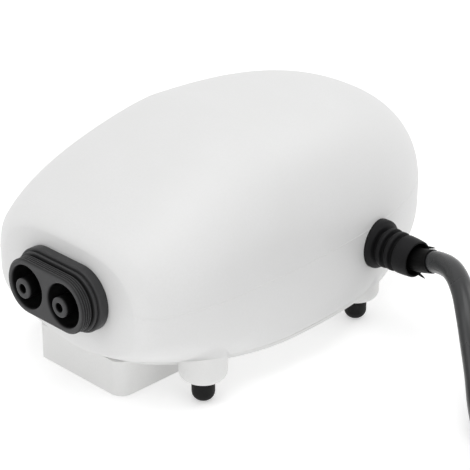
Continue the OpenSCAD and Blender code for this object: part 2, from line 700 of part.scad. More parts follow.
// Rubber flap with a bead along its hinged edge
module flap(face, dir, z, up) {
    along_y(face - dir * bead_in, pump_y - flap_w / 2, z) cylinder(d = bead_d, h = flap_w);
    translate([face + dir * (0.03 + flap_t / 2), pump_y, z + up * flap_l / 2])
        cube([flap_t, flap_w, flap_l], center = true);
}
module inlet_flap(side) {
    color("#3a3a3a") at_side(side) flap(plate_x, -1, pump_z - hinge_dz, 1);
}
module outlet_flap(side) {
    color("#3a3a3a") at_side(side) flap(box_x[0], 1, pump_z + hinge_dz, -1);
}

module valve_box(side) {
    color("white") at_side(side) difference() {
        union() {
            pump_slab(box_x[0], box_x[1]);
            along_y(port_x, box_y[0] - 3, port_z) cylinder(d = barb_d, h = 4);
            for (y = lug_y) translate([0, 0, lug_top]) linear_extrude(lug_t) {
                translate([lug_x, y]) circle(lug_r);
                translate([box_x[0], min(y, pump_y)]) square([lug_x + lug_r - box_x[0], abs(y - pump_y)]);
            }
        }
        for (z = [[box_z[0] + 2.8, pump_z - 0.75], [pump_z + 0.75, box_z[1] - 2.5]])
            translate([box_x[0] - 1, pocket_y[0], z[0]])
            cube([pocket_x - box_x[0] + 1, pocket_y[1] - pocket_y[0], z[1] - z[0]]);
        along_y(port_x, pocket_y[1] - 1, 18) cylinder(d = 3.4, h = 9);
        along_y(port_x, box_y[0] - 4, port_z) cylinder(d = barb_d - 1.1, h = 10);
        ring_screw_spots() along_x(box_x[0] - 1, 0, 0) cylinder(d = ring_screw_d + 2 * fit, h = 4.4);
        for (y = lug_y) translate([lug_x, y, lug_top - 1])
            cylinder(d = lug_screw_d + 2 * loose, h = lug_t + 2);
    }
}

module ring_screws(side) {
    color("silver") at_side(side) ring_screw_spots() translate([ring_x, 0, 0]) rotate([0, -90, 0])
        screw(ring_screw_d, box_x[0] + 3 - ring_x, 4, 1.4);
}

module box_screws(side) {
    color("silver") at_side(side) for (y = lug_y) translate([lug_x, y, lug_top + lug_t])
        screw(lug_screw_d, lug_t + 4.5, 2 * lug_r - 0.3, 1.4);
}

// ---- free cord, coil and plug ----
// Round tube swept along a list of points
module tube(pts, d, sides) {
    n = len(pts);
    function dir(i) = let (v = pts[min(n - 1, i + 1)] - pts[max(0, i - 1)]) v / norm(v);
    function across(i) = let (v = cross(dir(i), [0, 0, 1])) v / norm(v);
    hoops = [for (i = [0 : n - 1]) let (a = across(i), b = cross(a, dir(i)))
        [for (j = [0 : sides - 1]) pts[i] + d / 2 * (a * cos(360 * j / sides) + b * sin(360 * j / sides))]];
    skin = [for (i = [0 : n - 2], j = [0 : sides - 1]) let (k = (j + 1) % sides) each
        [[i * sides + j, i * sides + k, (i + 1) * sides + k],
         [i * sides + j, (i + 1) * sides + k, (i + 1) * sides + j]]];
    polyhedron(flatten(hoops), concat(skin, [[for (j = [0 : sides - 1]) sides - 1 - j]],
        [[for (j = [0 : sides - 1]) (n - 1) * sides + j]]), convexity = 6);
}

// Smooth curve through the chosen points, with two points between each pair
function spline(p) = let (n = len(p)) concat([for (i = [0 : n - 2], u = [0, 1 / 3, 2 / 3])
    let (a = p[max(0, i - 1)], b = p[i], c = p[i + 1], e = p[min(n - 1, i + 2)])
    b + u * ((c - a) / 2 + u * ((2 * a - 5 * b + 4 * c - e) / 2 + u * (3 * b - a - 3 * c + e) / 2))],
    [p[n - 1]]);

module power_cord() { color("#454545") tube(spline(cord_route), cord_d, 10); }
module plug_lead() { color("#454545") tube(spline(plug_route), cord_d, 10); }

// Six turns, three side by side in two layers, as one solid
module cord_coil() {
    color("#454545") translate([coil_at[0], coil_at[1], coil_lift]) rotate_extrude($fn = 96) {
        for (i = [-1 : 1], j = [0.5, 1.5]) translate([coil_r + i * cord_d, j * cord_d]) circle(d = cord_d);
        translate([coil_r - cord_d, cord_d / 2]) square([2 * cord_d, cord_d]);
    }
}

module cord_ties() {
    w = 3 * cord_d;
    h = 2 * cord_d;
    color("#202020") for (a = tie_at) translate([coil_at[0], coil_at[1], 0]) rotate([0, 0, a])
        translate([coil_r, 2, 0]) rotate([90, 0, 0]) linear_extrude(4) difference() {
            round_rect([-w / 2 - 0.9, w / 2 + 0.9], [0, h + 1.7], 1.6);
            translate([-w / 2 - loose, coil_lift]) square([w + 2 * loose, h + loose]);
        }
}

// Flat two-pin plug lying on the coil, with its cord end towards its own -X
module in_plug() { translate(plug_at) rotate([0, 0, plug_turn]) children(); }
module mains_plug() {
    color("#2a2a2a") in_plug() difference() {
        union() {
            intersection() {
                translate([0, 0, -6.8]) linear_extrude(13.6) polygon([[0, -17.6], [2, -17.6], [7, -16],
                    [26, -7.2], [36, -6], [36, 6], [26, 7.2], [7, 16], [2, 17.6], [0, 17.6]]
                    * [[-1, 0], [0, 1]]);
                rotate([90, 0, 0]) translate([0, 0, -20]) linear_extrude(40)
                    polygon([[0, -6.8], [0, 6.8], [-12, 6.8], [-26, 5.6],
                        [-36, 5.4], [-36, -5.4], [-26, -5.6], [-12, -6.8]]);
            }
            along_x(-48, 0, 0) cylinder(r1 = 3.7, r2 = 4.8, h = 13);
        }
        along_x(-50, 0, 0) cylinder(d = cord_d + 2 * fit, h = 6);
        for (s = [-1, 1]) along_x(-9, s * 9.3, 0) cylinder(d = plug_pin_d - 0.4 + 2 * fit, h = 10);
    }
}

module plug_pins() {
    color("silver") in_plug() for (s = [-1, 1]) along_x(0, s * 9.3, 0) {
        translate([0, 0, -8.9]) cylinder(d = plug_pin_d - 0.4, h = 9);
        cylinder(d = plug_pin_d, h = plug_pin_l - 1);
        translate([0, 0, plug_pin_l - 1]) cylinder(d1 = plug_pin_d, d2 = plug_pin_d - 1.6, h = 1);
    }
}

housing();
base_plate();
rubber_feet();
base_screws();
filter_cover();
filter_pad();
outlet_block();
outlet_nozzles();
air_hoses();
grommet();
cord_tail();
cord_stop();
core();
core_screws();
bobbin();
winding();
terminal_pins();
lead_wires();
pivot_pins();
pivot_cap();
cap_screw();
arm(1);  // right_arm
magnet(1);  // right_magnet
hub_washers(1);  // right_hub_washers
hub_screw(1);  // right_hub_screw
diaphragm(1);  // right_diaphragm
clamp_ring(1);  // right_clamp_ring
valve_plate(1);  // right_valve_plate
inlet_flap(1);  // right_inlet_flap
outlet_flap(1);  // right_outlet_flap
valve_box(1);  // right_valve_box
ring_screws(1);  // right_ring_screws
box_screws(1);  // right_box_screws
arm(-1);  // left_arm
magnet(-1);  // left_magnet
hub_washers(-1);  // left_hub_washers
hub_screw(-1);  // left_hub_screw
diaphragm(-1);  // left_diaphragm
clamp_ring(-1);  // left_clamp_ring
valve_plate(-1);  // left_valve_plate
inlet_flap(-1);  // left_inlet_flap
outlet_flap(-1);  // left_outlet_flap
valve_box(-1);  // left_valve_box
ring_screws(-1);  // left_ring_screws
box_screws(-1);  // left_box_screws
power_cord();
cord_coil();
cord_ties();
plug_lead();
mains_plug();
plug_pins();
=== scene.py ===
"""Looks of a small aquarium air pump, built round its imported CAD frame.

An egg-shaped moulded housing stands on a base plate with four feet. A dark outlet block
holds two nozzles, and a ribbed grommet lets out a mains lead, which ends in a tied coil and a
plug. Everything is in the CAD model's frame: +Z up, the outlets towards -Y, and the origin on
the floor under the body's middle. Sizes are in millimetres, as in the part's source, and MM
turns them into Blender's metres.
"""

import logging
import math
from collections.abc import Callable
from dataclasses import dataclass
from enum import Enum
from functools import cache

import bmesh
import bpy
import numpy as np
from mathutils import Matrix, Vector
from mathutils.bvhtree import BVHTree


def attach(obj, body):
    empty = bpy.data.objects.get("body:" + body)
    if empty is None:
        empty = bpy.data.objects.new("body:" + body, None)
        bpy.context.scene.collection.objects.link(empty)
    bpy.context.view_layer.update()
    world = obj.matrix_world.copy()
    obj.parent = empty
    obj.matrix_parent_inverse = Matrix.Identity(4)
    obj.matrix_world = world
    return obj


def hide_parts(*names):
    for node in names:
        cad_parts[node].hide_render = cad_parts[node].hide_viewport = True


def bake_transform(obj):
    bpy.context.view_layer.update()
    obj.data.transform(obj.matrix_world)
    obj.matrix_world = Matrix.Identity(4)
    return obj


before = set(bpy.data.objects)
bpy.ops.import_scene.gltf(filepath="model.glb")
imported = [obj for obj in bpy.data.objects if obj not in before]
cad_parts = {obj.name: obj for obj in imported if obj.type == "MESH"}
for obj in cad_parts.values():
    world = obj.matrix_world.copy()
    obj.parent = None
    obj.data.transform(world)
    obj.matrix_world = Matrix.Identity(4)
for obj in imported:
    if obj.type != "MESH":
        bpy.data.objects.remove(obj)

MM = 0.001
# Points closer than this are one, and edges shorter than that are none
MERGE, SHORTEST = 0.002 * MM, 0.0005 * MM
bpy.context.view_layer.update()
LOG = logging.getLogger("air_pump")
Array = np.ndarray
Mesh = tuple[Array, Array]
Spot = tuple[float, float]
Object, Tree, Socket = bpy.types.Object, bpy.types.NodeTree, bpy.types.NodeSocket

MIRROR = np.array([-1, 1, 1])
FOOT_SPOTS: tuple[Spot, ...] = ((25.0, -32.8), (-25.0, -32.8), (22.9, 20.4), (-22.9, 20.4))
POST_R = 5.6

# Points of the 470 x 470 photograph, in pixels from its top left corner.
IMAGE_SIZE = (470, 470)
IMAGE_POINTS: dict[str, tuple[float, float]] = {
    "housing_top": (267.0, 69.9),
    "housing_right": (418.3, 198.0),
    "base_bottom": (122.2, 396.4),
    "outlet_left": (8.7, 280.0),
    "outlet_top": (30.0, 257.9),
    "left_nozzle": (23.4, 288.4),
    "right_nozzle": (59.8, 307.4),
    "front_foot": (203.2, 400.9),
    "rear_foot": (355.3, 318.1),
    "grommet_end": (416.5, 259.4),
    "parting_line": (155.0, 319.8),
    "flash_above": (428.0, 247.7),
    "flash_below": (421.0, 277.0),
}


# ---------------------------------------------------------------- colour and nodes
def linear_rgb(code: str) -> tuple[float, ...]:
    """Turns an sRGB hex colour, with its #, into Blender's linear colour with an alpha of 1."""
    parts = [int(code[i:i + 2], 16) / 255 for i in (1, 3, 5)]
    return *[c / 12.92 if c <= 0.04045 else ((c + 0.055) / 1.055) ** 2.4 for c in parts], 1.0


def add_node(tree: Tree, kind: str, settings: dict | None = None,
             inputs: dict | None = None) -> bpy.types.Node:
    """Adds one shader node.

    Args:
        tree: Node tree that it goes into.
        kind: Blender's name of the node type, without ShaderNode.
        settings: Attributes to set on the node.
        inputs: Sockets by name or number, each with a value or with the socket that feeds it.

    Returns:
        The new node.
    """
    node = tree.nodes.new("ShaderNode" + kind)
    for key, value in (settings or {}).items():
        setattr(node, key, value)
    for key, value in (inputs or {}).items():
        if isinstance(value, Socket):
            tree.links.new(value, node.inputs[key])
        else:
            node.inputs[key].default_value = value
    return node


def math_node(tree: Tree, operation: str, *values: object) -> Socket:
    """Adds a math node on the given values or sockets and returns its result."""
    return add_node(tree, "Math", {"operation": operation}, dict(enumerate(values))).outputs[0]


def mix_node(tree: Tree, *values: object) -> Socket:
    """Mixes two colours, given as the share of the second and both, and returns the result."""
    return add_node(tree, "Mix", {"data_type": "RGBA"}, dict(zip((0, 6, 7), values))).outputs[2]


def noise_node(tree: Tree, place: Socket, size: float,
               detail: float) -> Socket:
    """Adds noise that varies over a size in millimetres and returns its value."""
    return add_node(tree, "TexNoise", inputs={
        "Vector": place, "Scale": 1 / (size * MM), "Detail": detail}).outputs[0]


def range_node(tree: Tree, value: Socket, source: Spot = (0.0, 1.0),
               target: Spot = (0.0, 1.0)) -> Socket:
    """Maps a value from one range to another, held within it, and returns the result."""
    return add_node(tree, "MapRange", inputs={
        "Value": value, "From Min": source[0], "From Max": source[1],
        "To Min": target[0], "To Max": target[1]}).outputs[0]


class Pattern(Enum):
    """Fine structure that a finish shows."""

    MOULD_GRAIN = "even spark-eroded grain left by the mould"
    DRAWN_LINES = "fine lines that run along X, from turning or winding"
    SHEETS = "edges of stacked sheets, one above the other"
    CELLS = "open foam cells"
    SHEATH = "faint lines along an extruded sheath, from its UV map"


@dataclass(frozen=True)
class Finish:
    """One real material with the surface that its process leaves.

    Attributes:
        name: Material and process, in a maker's words.
        colour: Main colour as sRGB hex.
        shade: Second colour, which soft patches or the pattern's hollows lean to.
        roughness: Roughness of the surface, matched to its highlights.
        pattern: Fine structure of the surface.
        pitch: Size of that structure in millimetres.
        relief: Depth of that structure in millimetres.
        metallic: 1 for bare metal.
        ior: Index of refraction, left at Blender's own on metals.
        patch: Size in millimetres of the slow changes of colour and gloss.
        contrast: Share of the second colour that shows at most.
        specular: Specular level, 0.5 being a clean smooth plastic.
        deep: Colour of the painted shade that recessed places darken to, where the piece has a "recess"
            attribute.
    """

    name: str
    colour: str
    shade: str
    roughness: float
    pattern: Pattern
    pitch: float
    relief: float
    metallic: float = 0.0
    ior: float = 1.5
    patch: float = 14.0
    contrast: float = 0.5
    specular: float = 0.5
    deep: str = ""

    def build(self) -> bpy.types.Material:
        """Builds the material's nodes.

        Returns:
            A material with a colour, a roughness and a relief from procedural patterns.
        """
        material = bpy.data.materials.new(self.name)
        material.use_nodes = True
        tree = material.node_tree
        shader = tree.nodes["Principled BSDF"]
        where = add_node(tree, "TexCoord")
        patches = noise_node(tree, where.outputs["Object"], self.patch, 3.0)
        fine = self._fine(tree, where.outputs["UV" if self.pattern is Pattern.SHEATH else "Object"])
        both = math_node(tree, "MULTIPLY", patches, fine)
        share = range_node(tree, both, (0.1, 0.5), (self.contrast, 0.0))
        shown = mix_node(tree, share, linear_rgb(self.colour), linear_rgb(self.shade))
        # Painted shade: the colour darkens towards deep by the piece's recess attribute
        if self.deep:
            painted_shade = add_node(tree, "Attribute", {"attribute_name": "painted_shade"})
            shown = mix_node(tree, painted_shade.outputs["Fac"], shown, linear_rgb(self.deep))
        gloss = range_node(tree, patches, (0.3, 0.7), (self.roughness - 0.04, self.roughness + 0.04))
        bump = add_node(tree, "Bump", inputs={
            "Height": fine, "Strength": 0.6, "Distance": self.relief * MM})
        tree.links.new(shown, shader.inputs["Base Color"])
        tree.links.new(gloss, shader.inputs["Roughness"])
        tree.links.new(bump.outputs[0], shader.inputs["Normal"])
        shader.inputs["Metallic"].default_value = self.metallic
        if not self.metallic:
            shader.inputs["IOR"].default_value = self.ior
            shader.inputs["Specular IOR Level"].default_value = self.specular
        return material

    def _fine(self, tree: Tree, place: Socket) -> Socket:
        """Adds the fine pattern, from 0 in its hollows to 1 on its crests.

        Args:
            tree: Node tree that it goes into.
            place: Socket with the coordinates that the pattern follows.

        Returns:
            The socket that gives its height.
        """
        if self.pattern is Pattern.CELLS:
            return add_node(tree, "TexVoronoi", inputs={
                "Vector": place, "Scale": 1 / (self.pitch * MM)}).outputs["Distance"]
        if self.pattern is Pattern.MOULD_GRAIN:
            return noise_node(tree, place, self.pitch, 2.0)
        stretch = {Pattern.SHEETS: (0.02, 0.02, 1.0), Pattern.DRAWN_LINES: (0.03, 1.0, 1.0),
                   Pattern.SHEATH: (1.0, 0.03, 1.0)}[self.pattern]
        along = add_node(tree, "Mapping", inputs={"Vector": place, "Scale": stretch}).outputs[0]
        if self.pattern is not Pattern.SHEETS:
            return noise_node(tree, along, self.pitch, 2.0)
        split = add_node(tree, "SeparateXYZ", inputs={0: along})
        fold = math_node(tree, "PINGPONG", split.outputs[2], self.pitch * MM / 2)
        return range_node(tree, fold, (0.0, self.pitch * MM / 4))


# The record's material slots with their finishes. ABS and the other plastics have an IOR near
# 1.5, and moulded pieces show a fine matt grain that softens every highlight.
GRAIN, LINES, SHEETS = Pattern.MOULD_GRAIN, Pattern.DRAWN_LINES, Pattern.SHEETS
FINISHES: dict[str, Finish] = {
    # Satin white that shades softly from top to side, with hardly any reflection
    "housing_white": Finish(
        "white_abs_satin_moulded", "#EDEDED", "#E7E7E6", 0.48, GRAIN, 0.5, 0.01, ior=1.54, contrast=0.6),
    # The same plastic from another tool, a little duller
    "base_white": Finish(
        "white_abs_base_moulded", "#EFEFEE", "#E8E8E7", 0.52, GRAIN, 0.5, 0.01, ior=1.54, contrast=0.6),
    # Near black and dull, with a soft edge light
    "rubber_black": Finish(
        "black_rubber_moulded", "#161616", "#1D1D1D", 0.6, GRAIN, 0.4, 0.02, ior=1.52, specular=0.15),
    "screw_steel": Finish("steel_zinc_plated", "#C4C6C8", "#9FA2A5", 0.3, LINES, 0.2, 0.01, 1.0),
    "filter_foam": Finish(
        "grey_foam_open_cell", "#C9C9C4", "#8E8E89", 0.9, Pattern.CELLS, 0.9, 0.4, contrast=0.9),
    # Dark grey flexible plastic; painted shade darkens its outside, grooves, wells and nozzle sides, so
    # that the flat face reads lightest
    "outlet_plastic": Finish("dark_grey_pvc_moulded", "#464647", "#3F3F40", 0.38, GRAIN, 0.35, 0.015,
                             ior=1.53, specular=0.15, deep="#070707"),
    "hose_rubber": Finish(
        "black_silicone_extruded", "#303030", "#272727", 0.5, GRAIN, 0.4, 0.01, ior=1.45),
    # Darker and duller than the outlets, with painted shade in the grooves, the hollow end and the inner
    # boot, so that the ribs show as bands
    "grommet_rubber": Finish("black_rubber_ribbed", "#202021", "#19191A", 0.5, GRAIN, 0.35, 0.015,
                             ior=1.52, specular=0.1, deep="#040404"),
    # Grey-black sheath with a long soft highlight along its top
    "cord_pvc": Finish("grey_black_pvc_extruded", "#2A2B2C", "#242526", 0.26, Pattern.SHEATH, 0.6, 0.01,
                       ior=1.54, contrast=0.4, specular=0.42),
    "lamination_steel": Finish(
        "silicon_steel_stacked", "#8A8B8D", "#4A4A4C", 0.42, SHEETS, 0.5, 0.05, 1.0, contrast=0.8),
    "bobbin_nylon": Finish(
        "ivory_nylon_moulded", "#E3DCC6", "#D8D0B8", 0.45, GRAIN, 0.4, 0.01, ior=1.53),
    "copper_wire": Finish(
        "copper_enamelled_wound", "#B4692F", "#7A3F1B", 0.32, SHEETS, 0.35, 0.06, 1.0, contrast=0.8),
    "terminal_brass": Finish("brass_drawn", "#D2B45A", "#B3923F", 0.28, LINES, 0.2, 0.005, 1.0),
    "wire_insulation": Finish(
        "brown_pvc_insulation", "#7A3B2A", "#6A3022", 0.4, GRAIN, 0.4, 0.005, ior=1.54),
    "inner_white": Finish("white_pom_moulded", "#E6E6E2", "#DBDBD6", 0.4, GRAIN, 0.4, 0.01, ior=1.48),
    "arm_plastic": Finish(
        "black_glass_filled_nylon", "#2D2D2E", "#3A3A3B", 0.5, GRAIN, 0.5, 0.02, ior=1.53),
    "magnet_ferrite": Finish(
        "ferrite_sintered_ground", "#4B4B4D", "#38383A", 0.55, GRAIN, 0.3, 0.02, ior=1.9),
    "tie_black": Finish("black_pvc_coated_tie", "#1E1E1F", "#292929", 0.5, GRAIN, 0.5, 0.01),
    "plug_plastic": Finish(
        "black_pvc_overmoulded", "#2C2D2E", "#242425", 0.42, GRAIN, 0.5, 0.02, ior=1.54),
    "plug_nickel": Finish("brass_nickel_plated", "#CFCBC0", "#B5B1A6", 0.2, LINES, 0.2, 0.004, 1.0),
}

# The CAD nodes that take each slot's finish; a leading right_ or left_ is left off.
SLOT_NODES: dict[str, str] = {
    "housing_white": "housing",
    "base_white": "base_plate filter_cover",
    "rubber_black": "rubber_feet",
    "screw_steel": "base_screws core_screws pivot_pins cap_screw hub_washers hub_screw ring_screws "
                   "box_screws",
    "filter_foam": "filter_pad",
    "outlet_plastic": "outlet_block outlet_nozzles",
    "hose_rubber": "air_hoses diaphragm inlet_flap outlet_flap",
    "grommet_rubber": "grommet",
    "cord_pvc": "cord_tail power_cord cord_coil plug_lead",
    "arm_plastic": "cord_stop arm",
    "lamination_steel": "core",
    "bobbin_nylon": "bobbin",
    "copper_wire": "winding",
    "terminal_brass": "terminal_pins",
    "wire_insulation": "lead_wires",
    "inner_white": "pivot_cap clamp_ring valve_plate valve_box",
    "magnet_ferrite": "magnet",
    "tie_black": "cord_ties",
    "plug_plastic": "mains_plug",
    "plug_nickel": "plug_pins",
}
NODE_SLOTS = {node: slot for slot, nodes in SLOT_NODES.items() for node in nodes.split()}


@cache
def finish_of(slot: str) -> bpy.types.Material:
    """Returns the slot's material, built on first use."""
    return FINISHES[slot].build()


# ---------------------------------------------------------------- meshes from arrays
def smooth_step(t: Array) -> Array:
    """Rises smoothly from 0 to 1 as t goes from 0 to 1: 3t^2 - 2t^3."""
    t = np.clip(t, 0, 1)
    return t * t * (3 - 2 * t)


def length_one(v: Array) -> Array:
    """Scales each vector along the last axis to a length of 1."""
    return v / np.maximum(np.linalg.norm(v, axis=-1, keepdims=True), 1e-12)


def level_across(run: Array) -> Array:
    """Returns the level directions of length 1 that are square to each direction of a run."""
    return length_one(np.cross(run, [0.0, 0.0, 1.0]))


def turned(steps: int) -> Array:
    """Returns evenly spaced angles of one full turn, in radians, without the last."""
    return np.linspace(0, 2 * np.pi, steps, endpoint=False)


def quarter(steps: int, start: float = 0, end: float = 90) -> Array:
    """Returns the angles from start to end in radians, both given in degrees."""
    return np.radians(np.linspace(start, end, steps))


def level_row(points: Array, height: float | Array) -> Array:
    """Gives points with two coordinates a third, one for all or one for each."""
    return np.column_stack([points, np.broadcast_to(height, len(points))])


def grid_faces(rows: int, columns: int, wrap: bool = False) -> Array:
    """Lists a grid's four-sided faces as point numbers.

    Args:
        rows: Points along the first parameter.
        columns: Points along the second parameter.
        wrap: Whether the last column joins the first.

    Returns:
        An array with four point numbers a face.
    """
    i, j = np.meshgrid(np.arange(rows - 1), np.arange(columns if wrap else columns - 1),
                       indexing="ij")
    k = (j + 1) % columns
    faces = [i * columns + j, i * columns + k, (i + 1) * columns + k, (i + 1) * columns + j]
    return np.stack(faces, axis=-1).reshape(-1, 4)


def grid_mesh(grid: Array, wrap: bool = False) -> Mesh:
    """Returns the points and the faces of a grid, rows by columns by 3."""
    return grid.reshape(-1, 3), grid_faces(*grid.shape[:2], wrap)


def with_mirror(half: list[Mesh]) -> list[Mesh]:
    """Returns the meshes of the +X half, followed by those of the other."""
    return half + [(points * MIRROR, faces[:, ::-1]) for points, faces in half]


def read(items: bpy.types.bpy_prop_collection, key: str, width: int = 1, kind: type = int) -> Array:
    """Reads one value of every item of a mesh, as a row for each where it has a width."""
    values = np.empty(len(items) * width, dtype=kind)
    items.foreach_get(key, values)
    return values.reshape(-1, width) if width > 1 else values


def mesh_points(mesh: bpy.types.Mesh) -> Array:
    """Returns a mesh's points in metres, n by 3."""
    return read(mesh.vertices, "co", 3, float)


def link_object(name: str, data: bpy.types.ID) -> Object:
    """Makes an object of its data, puts it into the scene and returns it."""
    made = bpy.data.objects.new(name, data)
    bpy.context.scene.collection.objects.link(made)
    return made


def make_piece(name: str, parts: list[Mesh], slot: str, sharp: float = 40.0) -> Object:
    """Makes one closed piece from point arrays and its faces.

    Args:
        name: The piece's name.
        parts: Pairs of points in millimetres, n by 3, and of faces as rows of point numbers.
        slot: Material slot of its finish.
        sharp: Angle in degrees above which an edge stays crisp.

    Returns:
        A mesh object at the origin, its doubles merged and its faces pointing outwards.
    """
    start = np.cumsum([0] + [len(points) for points, _ in parts[:-1]])
    faces = [face for (_, f), s in zip(parts, start) for face in (f + s).tolist()]
    mesh = bpy.data.meshes.new(name)
    mesh.from_pydata(np.concatenate([points for points, _ in parts]) * MM, [], faces)
    shape = bmesh.new()
    shape.from_mesh(mesh)
    bmesh.ops.remove_doubles(shape, verts=shape.verts, dist=MERGE)
    bmesh.ops.dissolve_degenerate(shape, dist=SHORTEST, edges=shape.edges)
    bmesh.ops.recalc_face_normals(shape, faces=shape.faces)
    shape.to_mesh(mesh)
    shape.free()
    mesh.shade_smooth()
    mesh.set_sharp_from_angle(angle=math.radians(sharp))
    mesh.materials.append(finish_of(slot))
    piece = link_object(name, mesh)
    LOG.info("%s: %d faces, %s", name, len(mesh.polygons), FINISHES[slot].name)
    return piece


def merged_node(name: str) -> Mesh:
    """Reads a CAD node's triangles with their doubles merged.

    Args:
        name: Name of the node.

    Returns:
        Points in millimetres, n by 3, and the faces with three point numbers.
    """
    shape = bmesh.new()
    shape.from_mesh(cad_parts[name].data)
    bmesh.ops.remove_doubles(shape, verts=shape.verts, dist=MERGE)
    mesh = bpy.data.meshes.new(name + "_merged")
    shape.to_mesh(mesh)
    shape.free()
    merged = mesh_points(mesh) / MM, read(mesh.loops, "vertex_index").reshape(-1, 3)
    bpy.data.meshes.remove(mesh)
    return merged


def rounded(profile: list[Spot], radius: float, steps: int = 4, closed: bool = True) -> Array:
    """Rounds a profile's corners.

    Each corner is replaced by a curve B(t) = (1-t)^2 a + 2 t (1-t) c + t^2 b, where c is the
    corner and a and b lie the radius away from it, or a third of a short side.

    Args:
        profile: Corner points in order.
        radius: Size of the rounding, in the points' units.
        steps: Pieces that each curve is cut into.
        closed: Whether the last corner joins the first.

    Returns:
        The rounded profile's points, n by 2.
    """
    corner = np.array(profile, float)
    to_last = np.roll(corner, 1, axis=0) - corner
    to_next = np.roll(corner, -1, axis=0) - corner
    ends = [(corner + length_one(v) * np.minimum(
        radius, np.linalg.norm(v, axis=1) / 3)[:, None])[:, None] for v in (to_last, to_next)]
    t = np.linspace(0, 1, steps + 1)[None, :, None]
    curve = (1 - t) ** 2 * ends[0] + 2 * t * (1 - t) * corner[:, None] + t ** 2 * ends[1]
    if closed:
        return curve.reshape(-1, 2)
    return np.concatenate([corner[:1], curve[1:-1].reshape(-1, 2), corner[-1:]])


def revolved(profile: Array, segments: int) -> Mesh:
    """Turns a closed profile round an axis: p(h, a) = (r cos a, r sin a, h).

    Args:
        profile: Radius and height of each point, n by 2.
        segments: Steps round the axis.

    Returns:
        Points round the Z axis and their faces.
    """
    a = turned(segments)
    r, h = profile[:, :1], profile[:, 1:]
    points = np.stack([r * np.cos(a), r * np.sin(a), np.broadcast_to(h, (len(h), segments))], -1)
    return grid_mesh(np.concatenate([points, points[:1]]), wrap=True)


def along(points: Array, axis: str, at: tuple[float, float, float]) -> Array:
    """Turns points made round Z to stand along "x" or "y", and moves their origin to a place."""
    return points[:, {"x": (2, 0, 1), "y": (1, 2, 0)}[axis]] + np.array(at)


def tube(path: Array, radius: float, sides: int) -> Mesh:
    """Carries a circle along a path.

    Each ring lies square to the path: p + r (cos a . across + sin a . over), where across is
    level and over completes the three. Both ends are closed by a ring of no size.

    Args:
        path: Points of the centreline in millimetres, n by 3.
        radius: The tube's radius in millimetres.
        sides: Points round each ring.

    Returns:
        Points and faces.
    """
    run = length_one(np.gradient(path, axis=0))
    across = level_across(run)
    over = np.cross(across, run)
    a = turned(sides)[None, :, None]
    rings = path[:, None] + radius * (np.cos(a) * across[:, None] + np.sin(a) * over[:, None])
    first, last = (np.repeat(path[i:i + 1, None], sides, axis=1) for i in (0, len(path) - 1))
    return grid_mesh(np.concatenate([first, rings, last]), wrap=True)


def paint_shade(piece: Object, rule: Callable[[Array], Array]) -> None:
    """Gives each point of a piece its "recess" value, the painted shade that its finish darkens by.

    Args:
        piece: Finished mesh object.
        rule: Works the values out from points in millimetres.
    """
    values = rule(mesh_points(piece.data) / MM).astype(np.float32)
    piece.data.attributes.new("painted_shade", "FLOAT", "POINT").data.foreach_set("value", values)


# ---------------------------------------------------------------- camera
@dataclass(frozen=True)
class StudioCamera:
    """Camera at the photograph's viewing angle, settled by the image points.

    Attributes:
        aim: Point in millimetres that the middle of the frame shows.
        azimuth: Angle round the object in degrees; 0 looks along +Y.
        elevation: Angle above the horizon in degrees.
        distance: Distance from the aim point in millimetres.
        lens: Focal length in millimetres.
        sensor: Sensor width in millimetres.
    """

    aim: tuple[float, float, float] = (2.18, -0.2, 21.9)
    azimuth: float = 45.35
    elevation: float = 26.35
    distance: float = 487.1
    lens: float = 156.15
    sensor: float = 36.0

    def axes(self) -> Array:
        """Returns the camera's right, up and backward directions as three rows."""
        a, e = math.radians(self.azimuth), math.radians(self.elevation)
        right = np.array([math.cos(a), math.sin(a), 0.0])
        back = np.array([math.sin(a) * math.cos(e), -math.cos(a) * math.cos(e), math.sin(e)])
        return np.stack([right, np.cross(back, right), back])

    def eye(self) -> Array:
        """Returns the camera's place in millimetres."""
        return np.array(self.aim) + self.axes()[2] * self.distance

    def make(self) -> None:
        """Makes the camera and gives it to the scene."""
        data = bpy.data.cameras.new("photo_camera")
        data.sensor_fit = "AUTO"
        data.sensor_width = self.sensor
        data.lens = self.lens
        data.clip_start, data.clip_end = 0.01, 10.0
        camera = link_object("photo_camera", data)
        turn = Matrix(self.axes().T.tolist()).to_4x4()
        camera.matrix_world = Matrix.Translation(Vector(self.eye() * MM)) @ turn
        bpy.context.scene.camera = camera

    def ray(self, point: tuple[float, float]) -> tuple[Vector, Vector]:
        """Finds the line of sight through an image point.

        Args:
            point: Pixel x and y.

        Returns:
            The eye in metres and the direction of sight, in the row frame.
        """
        local = np.array([point[0] - IMAGE_SIZE[0] / 2, IMAGE_SIZE[1] / 2 - point[1],
                          -max(IMAGE_SIZE) * self.lens / self.sensor])
        return Vector(self.eye() * MM), Vector(local @ self.axes()).normalized()

    def project(self, points: Array) -> Array:
        """Finds where points in metres show.

        Args:
            points: Points in the row frame, n by 3.

        Returns:
            Pixel x and y, n by 2.
        """
        local = (points - self.eye() * MM) @ self.axes().T
        scale = max(IMAGE_SIZE) * self.lens / self.sensor / -local[:, 2]
        return np.stack([IMAGE_SIZE[0] / 2 + local[:, 0] * scale,
                         IMAGE_SIZE[1] / 2 - local[:, 1] * scale], axis=1)


CAMERA = StudioCamera()


def surface_tree(piece: Object) -> BVHTree:
    """Returns a search tree of a finished piece's faces."""
    return BVHTree.FromObject(piece, bpy.context.evaluated_depsgraph_get())


